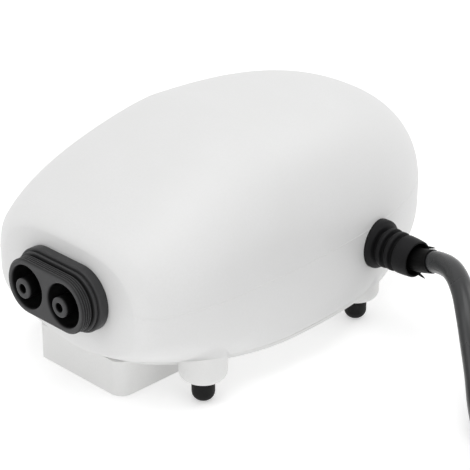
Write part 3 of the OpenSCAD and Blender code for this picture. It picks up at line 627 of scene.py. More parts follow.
def place_at(name: str, carrier: BVHTree) -> Array:
    """Finds where an image point lies on the piece that carries it.

    The line of sight through the point meets the carrier's faces. Where it misses, the place
    on the carrier nearest to that line is taken.

    Args:
        name: Name of the image point.
        carrier: Search tree of the carrying piece.

    Returns:
        The place in millimetres.
    """
    eye, sight = CAMERA.ray(IMAGE_POINTS[name])
    hit = carrier.ray_cast(eye, sight)[0]
    reach = CAMERA.distance * MM
    for _ in range(0 if hit else 12):
        near = carrier.find_nearest(eye + sight * reach)[0]
        reach = (near - eye).dot(sight)
    return np.array(hit or near) / MM


# ---------------------------------------------------------------- housing
@dataclass
class Housing:
    """Egg-shaped shell of the pump, moulded in one piece and open below.

    Its widest level is the plan outline, the dome above it is a row of superellipses, and the
    wall below it draws in to the smaller outline of its bottom edge.
    """

    half_w: float = 31.3
    top: float = 57.5
    wall: float = 2.2
    wide_z: float = 23.6
    wide_y: float = -23.1
    crown_y: float = -6.8
    front_y: float = -63.9
    back_y: float = 58.4
    nose_y: float = -50.8
    nose_r: float = 3.0
    # Share of the nose's rounding that the crown takes
    nose_top: float = 0.8
    seam_z: float = 9.8
    edge_y: float = -9.7
    edge_ends: Spot = (-48.4, 47.2)
    edge_draw: float = 0.7
    edge_least: float = 1.2
    boss_spots: tuple[Spot, ...] = FOOT_SPOTS[::2]
    boss_r: float = POST_R
    flare: float = 4.2
    fillet: float = 0.16
    lip_r: float = 0.22
    rim_out: float = 0.3
    seam_lift: float = 0.495
    line_r: float = 0.075
    # Powers of the dome's superellipse at the nose, and how much less at the back
    square: Spot = (3.1, 0.9)
    # Power of the wall's curl and how much less under the nose, where y is under curl_y[0]
    curl: Spot = (4.5, 1.3)
    curl_y: Spot = (-26.0, 20.0)
    # How much closer the stations stand at a boss, and how far from it that reaches
    crowd: Spot = (1.6, 6.5)
    stations: int = 330
    sweep: float = 178.6
    levels: int = 42
    inner_levels: int = 9
    dome_steps: int = 74
    inner_steps: int = 26
    end_steps: int = 15
    least_x: float = 0.05
    # How far a boss pushes the wall at most, and in how many radii and over what run it ends
    push_most: float = 6.0
    push_reach: Spot = (2.2, 3.0)
    # How steeply the push falls off beside a boss
    push_fall: float = 4.0
    # Where the parting line ends before the back, and its points and sides
    line_short: float = 0.25
    line_points: int = 420
    line_sides: int = 8

    @staticmethod
    def taper(u: Array, p: float, q: float) -> Array:
        """Returns the share of the full size left at u: (1 - u^p)^(1/q), and 0 past u = 1."""
        return np.maximum(0, 1 - np.minimum(1, np.abs(u)) ** p) ** (1 / q)

    def _halves(self, y: Array, middle: float, ends: Spot, front: Spot, back: Spot) -> Array:
        """Returns the share of the full size at y, with a taper of its own to either end.

        Args:
            y: Places along the body.
            middle: Where the size is full.
            ends: Where it has fallen to 0, in front and behind.
            front: Both powers of the taper in front.
            back: Both powers of the taper behind.

        Returns:
            Shares from 0 to 1.
        """
        ahead = self.taper((middle - y) / (middle - ends[0]), *front)
        behind = self.taper((y - middle) / (ends[1] - middle), *back)
        return np.where(y < middle, ahead, behind)

    def plan(self, y: Array) -> Array:
        """Returns the half width at the widest level: a blunt front half and a long back half."""
        ends = (self.front_y, self.back_y)
        return self.half_w * self._halves(y, self.wide_y, ends, (2.55, 2), (2.95, 2))

    def crown(self, y: Array) -> Array:
        """Returns the dome's height over the widest level, highest at crown_y."""
        share = self._halves(y, self.crown_y, (self.front_y, self.back_y), (1.35, 1.6), (2.7, 1.85))
        return (self.top - self.wide_z) * share

    def edge(self, y: Array) -> Array:
        """Returns the half width of the bottom edge, never less than a narrow strip's."""
        share = self._halves(y, self.edge_y, self.edge_ends, (1.9, 1.88), (2.45, 2.2))
        return np.maximum(self.edge_least, (self.half_w - self.edge_draw) * share)

    def nose_in(self, y: Array) -> Array:
        """Returns how far the nose's rounded edge draws in: r - sqrt(r^2 - d^2)."""
        d = np.clip((self.nose_y + self.nose_r - y) / self.nose_r, 0, 1)
        return self.nose_r * (1 - np.sqrt(1 - d * d))

    def power(self, y: Array) -> Array:
        """Returns the superellipse's exponent, squarer in front and rounder behind."""
        return self.square[0] - self.square[1] * (y - self.front_y) / (self.back_y - self.front_y)

    @staticmethod
    def _between(low: float, high: float, cosine: Array) -> Array:
        """Returns the place between two ends that a station's cosine stands for."""
        return (low + high) / 2 - (high - low) / 2 * cosine

    def _station_cosines(self) -> Array:
        """Spaces the stations, closer at both ends and at the bosses, as cosines from 1 to -1."""
        turn = quarter(6001, 0, self.sweep)
        y = self._between(self.nose_y, self.back_y, np.cos(turn))
        more, reach = self.crowd
        share = np.cumsum(1 + sum(more * np.exp(-((y - spot[1]) / reach) ** 2)
                                  for spot in self.boss_spots))
        return np.cos(np.interp(np.linspace(share[0], share[-1], self.stations), share, turn))

    def _dome(self, y: Array, lift: Array) -> Array:
        """Works out half of the dome, from its crown down to the widest level.

        In the direction b, with 0 level and 90 degrees up, a unit superellipse reaches
        (cos^n b + sin^n b)^(-1/n), and that is stretched to the plan's width and the crown.

        Args:
            y: Stations along the body.
            lift: Directions in radians, from a right angle down to 0.

        Returns:
            Points, stations by directions by 3.
        """
        n = self.power(y)[:, None]
        cos, sin = np.abs(np.cos(lift))[None], np.sin(lift)[None]
        reach = (cos ** n + sin ** n) ** (-1 / n)
        width = (self.plan(y) - self.nose_in(y))[:, None]
        height = (self.crown(y) - self.nose_top * self.nose_in(y))[:, None]
        x = np.where(cos < 1e-9, 0.0, width * reach * cos)
        return np.stack([x, np.broadcast_to(y[:, None], x.shape),
                         self.wide_z + height * reach * sin], axis=-1)

    def _wall(self, cosine: Array, z: Array) -> Array:
        """Works out one side of the wall below the widest level.

        A point is the mix of the plan outline and the bottom edge's, and the edge's share is
        the drop to a high power, so that the wall starts upright and curls in near the seam.
        Under the nose the power falls, and the wall curls in sooner.

        Args:
            cosine: Stations as cosines.
            z: Heights from the widest level down, for all stations or a row for each.

        Returns:
            Points, stations by heights by 3.
        """
        wide = self._between(self.nose_y, self.back_y, cosine)[:, None]
        low = self._between(*self.edge_ends, cosine)[:, None]
        z = np.broadcast_to(z, (len(cosine), z.shape[-1]))
        start, span = self.curl_y
        curl = self.curl[0] - self.curl[1] * smooth_step((start - wide) / span)
        share = ((self.wide_z - z) / (self.wide_z - self.seam_z)) ** curl
        x = (self.plan(wide) - self.nose_in(wide)) * (1 - share) + self.edge(low) * share
        return np.stack([x, wide * (1 - share) + low * share, z], axis=-1)

    @staticmethod
    def _outward(wall: Array) -> Array:
        """Returns the wall's level normals, square to its run from station to station."""
        run = np.gradient(wall[..., :2], axis=0)
        return length_one(np.stack([run[..., 1], -run[..., 0]], axis=-1))

    def _boss_push(self, wall: Array, outward: Array) -> Array:
        """Finds how far the screw bosses push the wall out along its plan normal.

        From a point p, the line along the normal n leaves the boss's circle at
        -b + sqrt(b^2 - c), with b = (p - centre).n and c = |p - centre|^2 - r^2. A smooth
        maximum of that and 0 leaves a small fillet.

        Args:
            wall: Wall points, stations by heights by 3.
            outward: Plan normals, stations by heights by 2.

        Returns:
            Distances, stations by heights.
        """
        push = np.zeros(wall.shape[:2])
        for spot in self.boss_spots:
            gap = wall[..., :2] - np.array(spot)
            b = np.sum(gap * outward, axis=-1)
            inside = b * b - np.sum(gap * gap, axis=-1) + self.boss_r ** 2
            fall = np.where(inside < 0, self.push_fall, 1)
            far = -b + np.sign(inside) * np.sqrt(np.abs(inside)) * fall
            soft = 0.5 * (far + np.sqrt(far * far + 4 * self.fillet ** 2))
            radii, run = self.push_reach
            near = smooth_step((radii * self.boss_r - np.linalg.norm(gap, axis=-1)) / run)
            push = np.maximum(push, np.clip(soft, 0, self.push_most) * near)
        return push

    def _inward(self, points: Array) -> Array:
        """Draws points in by the wall's thickness, by scaling about the body's middle."""
        mid, half = (self.back_y + self.nose_y) / 2, (self.back_y - self.nose_y) / 2
        rise = self.top - self.wide_z
        x = points[..., 0] * (1 - self.wall / self.half_w)
        y = mid + (points[..., 1] - mid) * (1 - self.wall / half)
        z = points[..., 2]
        z = np.where(z > self.wide_z, self.wide_z + (z - self.wide_z) * (1 - self.wall / rise), z)
        return np.stack([x, y, z], axis=-1)

    def _outside(self, cosine: Array) -> Array:
        """Works out the wall from the widest level to the bottom edge, and its rounded lip.

        Over each boss the edge is lifted, and the wall flares out to it.

        Args:
            cosine: Stations as cosines.

        Returns:
            Points, stations by heights by 3.
        """
        low = self.seam_z + self.lip_r
        z = np.linspace(self.wide_z, low, self.levels)
        plain = self._wall(cosine, np.full(1, low + 0.8))
        lift = self.seam_lift * self._boss_push(plain, self._outward(plain))
        room = (self.wide_z - low) / 2
        wall = self._wall(cosine, z[1:] + lift * np.maximum(0, 1 - (z[1:] - low) / room))
        turn = quarter(6)[1:]
        lip = np.repeat(wall[:, -1:], len(turn), axis=1)
        outside = np.concatenate([wall, lip], axis=1)
        outward = self._outward(outside)
        rise = (outside[..., 2] - self.seam_z - lift) / self.flare
        shift = np.maximum(self._boss_push(outside, outward), self.rim_out)
        shift = shift * (1 - smooth_step(rise))
        shift[:, -len(turn):] -= self.lip_r * (1 - np.cos(turn))
        outside[:, -len(turn):, 2] = self.seam_z + lift + self.lip_r * (1 - np.sin(turn))
        outside[..., :2] += outward * shift[..., None]
        outside[..., 0] = np.maximum(outside[..., 0], self.least_x)
        return outside

    def shell(self) -> Object:
        """Builds the shell: half of it as one grid from crown to crown, then mirrored.

        Along its first parameter the grid crosses the flat nose, runs down the stations and
        crosses the back. Along its second it goes down the outside, round the bottom edge's
        small radius and up the inside.

        Returns:
            The housing's piece, standing for its CAD node.
        """
        cosine = self._station_cosines()
        y = self._between(self.nose_y, self.back_y, cosine)
        inner = self._wall(cosine, np.linspace(self.seam_z, self.wide_z, self.inner_levels)[:-1])
        inside = self._inward(np.concatenate([inner, self._dome(y, quarter(self.inner_steps))], 1))
        dome = self._dome(y, quarter(self.dome_steps, 90, 0))
        half = np.concatenate([dome, self._outside(cosine), inside], axis=1)
        share = np.linspace(0, 1, self.end_steps)[:-1, None, None]
        squeeze = np.concatenate([share, np.ones_like(share), np.ones_like(share)], 2)
        grid = np.concatenate([half[:1] * squeeze, half, (half[-1:] * squeeze)[::-1]])
        piece = make_piece("housing_shell", with_mirror([grid_mesh(grid)]), "housing_white", sharp=60)
        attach(piece, "root")
        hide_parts("housing")
        return piece

    def parting_line(self, carrier: BVHTree) -> Object:
        """Adds the faint raised line that the mould's split leaves round the housing.

        Its height comes from the image point. At that height the dome is
        x = w (1 - (z/h)^n)^(1/n) wide, and a fine bead is carried along that line, half sunk.

        Args:
            carrier: Search tree of the shell.

        Returns:
            The line's piece.
        """
        rise = place_at("parting_line", carrier)[2] - self.wide_z
        turn = np.linspace(0, np.pi, self.line_points)
        y = self._between(self.nose_y, self.back_y - self.line_short, np.cos(turn))
        n = self.power(y)
        height = self.crown(y) - self.nose_top * self.nose_in(y)
        share = np.maximum(0, 1 - (rise / np.maximum(height, rise)) ** n) ** (1 / n)
        x = (self.plan(y) - self.nose_in(y)) * share
        path = np.stack([x, y, np.full_like(y, self.wide_z + rise)], axis=1)
        path = np.concatenate([path, (path * MIRROR)[::-1]])
        piece = make_piece("parting_line", [tube(path, self.line_r, self.line_sides)],
                           "housing_white")
        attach(piece, "root")
        return piece


# ---------------------------------------------------------------- outlets
@dataclass
class Outlets:
    """Dark block with two wells, and the nozzle that stands in each well."""

    pitch: float = 12.5
    z: float = 25.8
    face_y: float = -57.3
    tip_y: float = -58.4
    neck_r: float = 7.0
    well_r: float = 5.25
    well_depth: float = 7.1
    nozzle_r: float = 2.4
    bore_r: float = 1.05
    hose_end: float = -43
    press: float = 0.17
    back: float = 10.1
    edge_r: float = 0.35
    # Where the rings of a face lie between its outline and its hole
    face_rings: tuple[float, ...] = (0.15, 0.4, 0.7)
    # Painted shade on the block's whole outside, and the run over which the painted shade comes in
    outside_shade: float = 0.22
    shade_run: float = 0.35
    end_points: int = 65
    flat_points: int = 12
    middle_points: int = 15
    step_r: float = 0.14
    step_cuts: int = 3
    well_rings: tuple[float, ...] = (0.7, 1.4, 2.6)
    well_foot: float = 0.5
    # The nozzle's barb for the inner hose, how much slimmer its seat is, and its tip's run
    barb_r: float = 1.45
    seat_in: float = 0.2
    tip_run: float = 1.1
    tip_round: float = 0.35
    segments: int = 64
    # Radius over the neck's, and distance behind the face, down the block's outside
    steps: tuple[Spot, ...] = (
        (-0.55, 0.0), (-0.55, 0.4), (-0.3, 0.4), (-0.3, 0.7), (-0.55, 0.7), (-0.55, 1.0),
        (-0.3, 1.0), (-0.3, 1.3), (-0.55, 1.3), (-0.55, 1.6), (-0.3, 1.6), (-0.3, 1.9),
        (-0.55, 1.9), (-0.55, 2.2), (-0.3, 2.2), (-0.3, 2.5), (-0.8, 2.6), (-0.8, 3.1),
        (0.2, 3.15), (0.2, 3.8), (-0.2, 3.8), (-0.2, 4.2), (0.6, 4.15), (0.85, 4.4),
        (0.85, 6.5), (0.0, 6.5), (0.0, 8.8), (1.0, 8.8), (1.0, 10.1))

    def _outline(self, r: float) -> Array:
        """Walks round the +X half of a long round outline, from its bottom middle to its top.

        Args:
            r: Radius of its round end.

        Returns:
            Points as x and height over the middle, n by 2.
        """
        a = np.linspace(-np.pi / 2, np.pi / 2, self.end_points)
        x = np.linspace(0, self.pitch / 2, self.flat_points)[:-1]
        bottom = np.stack([x, np.full_like(x, -r)], axis=1)
        end = np.stack([self.pitch / 2 + r * np.cos(a), r * np.sin(a)], axis=1)
        return np.concatenate([bottom, end, (bottom * np.array([1, -1]))[::-1]])

    def _stand(self, rows: list[Array], wrap: bool = False) -> Mesh:
        """Makes a mesh of rows of x, height over the middle and distance behind the face."""
        points, faces = grid_mesh(np.array(rows), wrap)
        return points[:, [0, 2, 1]] + np.array([0, self.face_y, self.z]), faces

    def _face(self, r: float, y: float, hole: list[Spot]) -> Mesh:
        """Builds half of an end face, with the steps of its hole.

        The half outline is closed down the middle line. A ray from the hole's centre to each
        of its points meets the hole's circle, and the grid runs from one to the other.

        Args:
            r: Radius of the outline's round end.
            y: The face's distance behind the front face.
            hole: Radius and distance behind the face of each ring inside, outermost first.

        Returns:
            Points and faces.
        """
        middle = np.linspace(r, -r, self.middle_points)[1:-1]
        rim = np.concatenate([self._outline(r), np.stack([0 * middle, middle], axis=1)])
        centre = np.array([self.pitch / 2, 0.0])
        ray = length_one(rim - centre)
        start = centre + ray * hole[0][0]
        return self._stand([level_row(rim, y)]
                           + [level_row(rim + (start - rim) * t, y) for t in self.face_rings]
                           + [level_row(centre + ray * size, y + depth) for size, depth in hole],
                           wrap=True)

    def block(self) -> Object:
        """Builds the block: its stepped outside, and both end faces with their holes.

        Returns:
            The block's piece, standing for its CAD node.
        """
        e, deep = self.edge_r, self.well_depth
        profile = rounded([(self.neck_r + r, y) for r, y in self.steps], self.step_r,
                          self.step_cuts, closed=False)
        first, curve = profile[0, 0], quarter(6, 90, 0)
        soft = np.stack([first - e + e * np.cos(curve), e - e * np.sin(curve)], axis=1)
        profile = np.concatenate([soft, profile[profile[:, 1] > e]])
        side = self._stand([level_row(self._outline(r), y) for r, y in profile])
        seat = self.nozzle_r - self.press
        well = [(self.well_r + e * (1 - np.sin(t)), e * (1 - np.cos(t))) for t in quarter(6)]
        well += [(self.well_r, depth) for depth in (*self.well_rings, deep - self.well_foot)]
        well += [(self.well_r - self.well_foot, deep), (seat, deep), (seat, self.back)]
        front = self._face(first - e, 0.0, well)
        rear = self._face(profile[-1, 0], self.back, [(seat, 0.0)])
        piece = make_piece("outlet_block_body", with_mirror([side, front, rear]), "outlet_plastic",
                           sharp=50)
        # Painted shade on the outside, in its grooves and in the wells
        paint_shade(piece, self._block_painted_shade)
        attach(piece, "root")
        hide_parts("outlet_block")
        return piece

    def _block_painted_shade(self, places: Array) -> Array:
        """Tells how much painted shade each place of the block takes.

        The face has 0. The outside has 0.22, and up to 1 in a groove, from its distance to
        the round end's axis. A well darkens to 1 over its first 2.5 mm.

        Args:
            places: Points in millimetres, n by 3.

        Returns:
            Values from 0 to 1.
        """
        behind = places[:, 1] - self.face_y
        off = np.abs(places[:, 0]) - self.pitch / 2
        rise = places[:, 2] - self.z
        in_well = np.hypot(off, rise) < self.well_r + 0.02
        deep = self.neck_r - self.shade_run - np.hypot(np.maximum(off, 0), rise)
        groove = np.clip(deep / self.shade_run, 0, 1)
        shade = self.outside_shade + (1 - self.outside_shade) * groove
        outside = smooth_step(behind / self.shade_run) * shade
        well = 0.85 * smooth_step(behind / 0.6) + 0.15 * smooth_step(behind / 2.5)
        return np.where(in_well, well, outside)

    def _nozzle_painted_shade(self, places: Array) -> Array:
        """Returns the painted shade: 1 in a nozzle's bore, rising to 1 on its side close behind its tip.
        """
        bore = np.hypot(np.abs(places[:, 0]) - self.pitch / 2, places[:, 2] - self.z)
        return np.maximum(smooth_step((places[:, 1] - self.tip_y - 0.1) / 0.5),
                          bore < self.bore_r + 0.1)

    def nozzles(self) -> Object:
        """Builds both nozzles: a rounded tip, a plain tube and the barb for the inner hose.

        Returns:
            One piece with both, standing for their CAD node.
        """
        seat = self.face_y + self.well_depth - self.tip_y
        through = self.back + self.face_y - self.tip_y
        end = self.hose_end - self.tip_y
        r, b, tip, barb = self.nozzle_r, self.bore_r, self.tip_run, self.barb_r
        slim = r - self.seat_in
        corners = [(b, 0), (r, 0), (r, tip), (r, 2 * tip), (r, seat), (slim, seat),
                   (slim, through), (barb, through), (barb, end), (b, end), (b, tip)]
        points, faces = revolved(rounded(corners, self.tip_round), self.segments)
        parts = [(along(points, "y", (s * self.pitch / 2, self.tip_y, self.z)), faces)
                 for s in (-1, 1)]
        piece = make_piece("outlet_nozzle_pair", parts, "outlet_plastic", sharp=50)
        # Painted shade in the bores and on the sides behind the tips
        paint_shade(piece, self._nozzle_painted_shade)
        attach(piece, "root")
        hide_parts("outlet_nozzles")
        return piece


# ---------------------------------------------------------------- base plate and feet
@dataclass
class BasePlate:
    """Base with its filter box and foot posts: the CAD solid with the mould's softer edges."""

    post_low: float = 5.7
    cad_round: float = 1.0
    soft_round: float = 2.0
    riser_low: float = 8.6
    riser_lap: float = 0.12
    box_half: float = 13.35
    box_y: Spot = (-47.4, -24.0)
    box_r: float = 3.2
    corner_out: float = 1.25
    corner_r: float = 1.2
    slack: float = 0.02
    corner_slack: Spot = (0.05, 0.01)
    edge_points: int = 3000
    segments: int = 96

    def _soft_posts(self, places: Array) -> None:
        """Stretches each post's lower rounding, about its outer wall and its bottom face.

        Args:
            places: Points in millimetres, n by 3, changed in place.
        """
        more = self.soft_round / self.cad_round
        for spot in np.array(FOOT_SPOTS):
            gap = places[:, :2] - spot
            r = np.linalg.norm(gap, axis=1)
            part = ((r < POST_R + self.slack) & (r > POST_R - self.cad_round - self.slack)
                    & (places[:, 2] < self.post_low + self.cad_round + self.slack))
            new_r = POST_R - (POST_R - r[part]) * more
            places[part, :2] = spot + gap[part] * (new_r / r[part])[:, None]
            places[part, 2] = self.post_low + (places[part, 2] - self.post_low) * more

    def _crisp_corners(self, places: Array) -> None:
        """Moves the box's left corners out and gives them the tighter radius of the photo.

        A corner's points lie at one radius from its centre, and keep their directions.

        Args:
            places: Points in millimetres, n by 3, changed in place.
        """
        off, over = self.corner_slack
        for y, way in zip(self.box_y, (1, -1)):
            old = np.array([self.box_r - self.box_half, y + way * self.box_r])
            new = np.array([self.corner_r - self.box_half - self.corner_out,
                            y + way * self.corner_r])
            gap = places[:, :2] - old
            part = ((np.abs(np.linalg.norm(gap, axis=1) - self.box_r) < off)
                    & (gap[:, 0] < over) & (gap[:, 1] * way < over))
            places[part, :2] = new + gap[part] * (self.corner_r / self.box_r)

    def _riser(self, spot: Array, housing: Housing) -> Mesh:
        """Works out the riser that carries a post up to the housing's lifted seam.

        It is a round column whose top is the tilted plane z = seam + lift (g + q.n), with n
        the outline's normal nearest to the post, g the post's distance outside the outline
        and q the place from the post's axis. Inside the outline it stays level.

        Args:
            spot: The post's x and y.
            housing: The shell that stands on it.

        Returns:
            Points and faces.
        """
        y = np.linspace(*housing.edge_ends, self.edge_points)
        line = np.stack([housing.edge(y), y], axis=1)
        gap = np.array([abs(spot[0]), spot[1]]) - line
        near = np.argmin(np.linalg.norm(gap, axis=1))
        run = np.gradient(line, axis=0)[near]
        normal = np.array([run[1], -run[0]]) / np.linalg.norm(run)
        a = turned(self.segments)
        ring = (POST_R - self.slack) * np.stack([np.cos(a), np.sin(a)], axis=1)
        out = gap[near] @ normal + ring @ normal
        top = housing.seam_z + self.riser_lap + housing.seam_lift * np.maximum(0, out)
        rows = [level_row(ring * size, height) for size, height in (
            (0.0, self.riser_low), (1.0, self.riser_low), (1.0, top), (0.0, top.mean()))]
        points, faces = grid_mesh(np.array(rows), wrap=True)
        side = np.array([math.copysign(1, spot[0]), 1, 1])
        return points * side + np.array([spot[0], spot[1], 0]), faces

    def build(self, housing: Housing) -> Object:
        """Builds the base from its CAD node's merged mesh, with a riser on each post.

        Args:
            housing: The shell that stands on it.

        Returns:
            The base's piece, standing for its CAD node.
        """
        places, faces = merged_node("base_plate")
        self._soft_posts(places)
        self._crisp_corners(places)
        risers = [self._riser(spot, housing) for spot in np.array(FOOT_SPOTS)]
        piece = make_piece("base_plate_body", [(places, faces)] + risers, "base_white", sharp=35)
        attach(piece, "root")
        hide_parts("base_plate")
        return piece


@dataclass
class Feet:
    """Four rubber buttons, pressed into the foot posts."""

    r: float = 2.7
    height: float = 8.7
    tip_r: float = 2.2
    segments: int = 48

    def buttons(self) -> Object:
        """Builds the four buttons, each with a rounded tip and a small flat to stand on.

        Returns:
            One piece, standing for its CAD node.
        """
        turn = quarter(9)
        r, f = self.r, self.tip_r
        tip = np.stack([r - f + f * np.sin(turn), f - f * np.cos(turn)], axis=1)
        profile = np.concatenate([[(0.0, 0.0)], tip, [(r, self.height), (0.0, self.height)]])
        points, faces = revolved(profile, self.segments)
        piece = make_piece("rubber_foot_buttons", [(points + np.array([x, y, 0]), faces)
                                                   for x, y in FOOT_SPOTS], "rubber_black")
        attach(piece, "root")
        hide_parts("rubber_feet")
        return piece


# ---------------------------------------------------------------- grommet and lead
@dataclass
class Grommet:
    """Ribbed rubber sleeve that guards the lead where it leaves the housing."""

    x: float = 28.17
    y: float = 21.3
    z: float = 21.7
    # Radius and distance from the flange's seat, down the sleeve's outside
    steps: tuple[Spot, ...] = (
        (5.2, -6.0), (5.2, -3.4), (4.4, -3.4), (4.4, 0.0), (6.0, 0.0), (6.0, 1.8), (4.9, 2.6),
        (3.7, 2.7), (3.7, 3.8), (4.9, 3.9), (4.9, 5.0), (3.7, 5.1), (3.7, 6.2), (4.8, 6.3),
        (4.8, 7.4), (3.7, 7.5), (3.7, 8.6), (4.7, 8.7), (4.6, 11.0), (4.4, 12.9),
        (3.95, 12.9), (3.7, 10.6), (2.65, 9.8), (2.65, -6.0))
    end: float = 12.9
    boot_r: float = 2.85
    boot_end: float = 46.0
    # Points of the lead among which the boot's are looked for, all before the coil
    boot_points: int = 60
    # Where the flash roots, its blade's half sizes, and how it leans out as it runs
    flash_r: float = 4.15
    flash_half: Spot = (0.28, 0.42)
    flash_lean: float = 0.35
    # Distances along the blade, and how much of its size is left at each
    flash_run: tuple[float, ...] = (-0.6, 0.0, 1.1, 1.9)
    flash_left: tuple[float, ...] = (1.0, 1.0, 0.6, 0.02)
    step_r: float = 0.3
    segments: int = 96
    boot_sides: int = 48
    # Radius of the grooves and of the hollow end, the end's depth, and where the shade ends
    shaded_r: Spot = (3.6, 4.05)
    hollow: float = 2.2
    shade_run: float = 0.5

    def sleeve(self, lead: Array) -> Object:
        """Builds the sleeve by turning its rounded profile round the lead's axis.

        A thin inner boot follows the lead out of the sleeve's end, dark all over with painted shade.

        Args:
            lead: Points of the lead's centreline in millimetres, n by 3.

        Returns:
            The sleeve's piece, standing for its CAD node.
        """
        points, faces = revolved(rounded(list(self.steps), self.step_r), self.segments)
        held = lead[(lead[:, 0] < self.boot_end) & (np.arange(len(lead)) < self.boot_points)]
        sleeve = (along(points, "x", (self.x, self.y, self.z)), faces)
        piece = make_piece("ribbed_grommet", [sleeve, tube(held, self.boot_r, self.boot_sides)],
                           "grommet_rubber", sharp=50)
        # Painted shade in the grooves, the hollow end and on the boot
        paint_shade(piece, self._painted_shade)
        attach(piece, "root")
        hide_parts("grommet")
        return piece

    def _painted_shade(self, places: Array) -> Array:
        """Returns the painted shade: 1 in the grooves, the hollow end and on the inner boot, where
        little light reaches.
        """
        r = np.hypot(places[:, 1] - self.y, places[:, 2] - self.z)
        groove, end = self.shaded_r
        inside = np.where(places[:, 0] > self.x + self.end - self.hollow, end, groove)
        return 1 - smooth_step((r - inside) / self.shade_run)

    def flash(self, carrier: BVHTree) -> Object:
        """Adds the two slivers of rubber flash that the mould left on the sleeve's end.

        Each is a pointed blade from the image point's place on the sleeve: a four-sided ring
        that shrinks towards its tip along +X.

        Args:
            carrier: Search tree of the sleeve.

        Returns:
            One piece with both slivers.
        """
        a = np.radians([45, 135, 225, 315])[:, None]
        t = np.array(self.flash_run)[:, None, None]
        size = np.array(self.flash_left)[:, None, None]
        parts = []
        for name in ("flash_above", "flash_below"):
            spot = place_at(name, carrier)
            away = length_one(np.array([0, spot[1] - self.y, spot[2] - self.z]))
            root = np.array([self.x + self.end, self.y, self.z]) + away * self.flash_r
            across = np.cross(away, [1.0, 0.0, 0.0])
            ring = (self.flash_half[0] * np.cos(a) * away
                    + self.flash_half[1] * np.sin(a) * across)
            grid = root + ring * size + t * (np.array([1.0, 0, 0]) + self.flash_lean * away)
            base, tip = (np.repeat(row.mean(axis=1, keepdims=True), 4, axis=1)
                         for row in (grid[:1], grid[-1:]))
            parts.append(grid_mesh(np.concatenate([base, grid, tip]), wrap=True))
        piece = make_piece("grommet_flash", parts, "grommet_rubber")
        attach(piece, "root")
        return piece


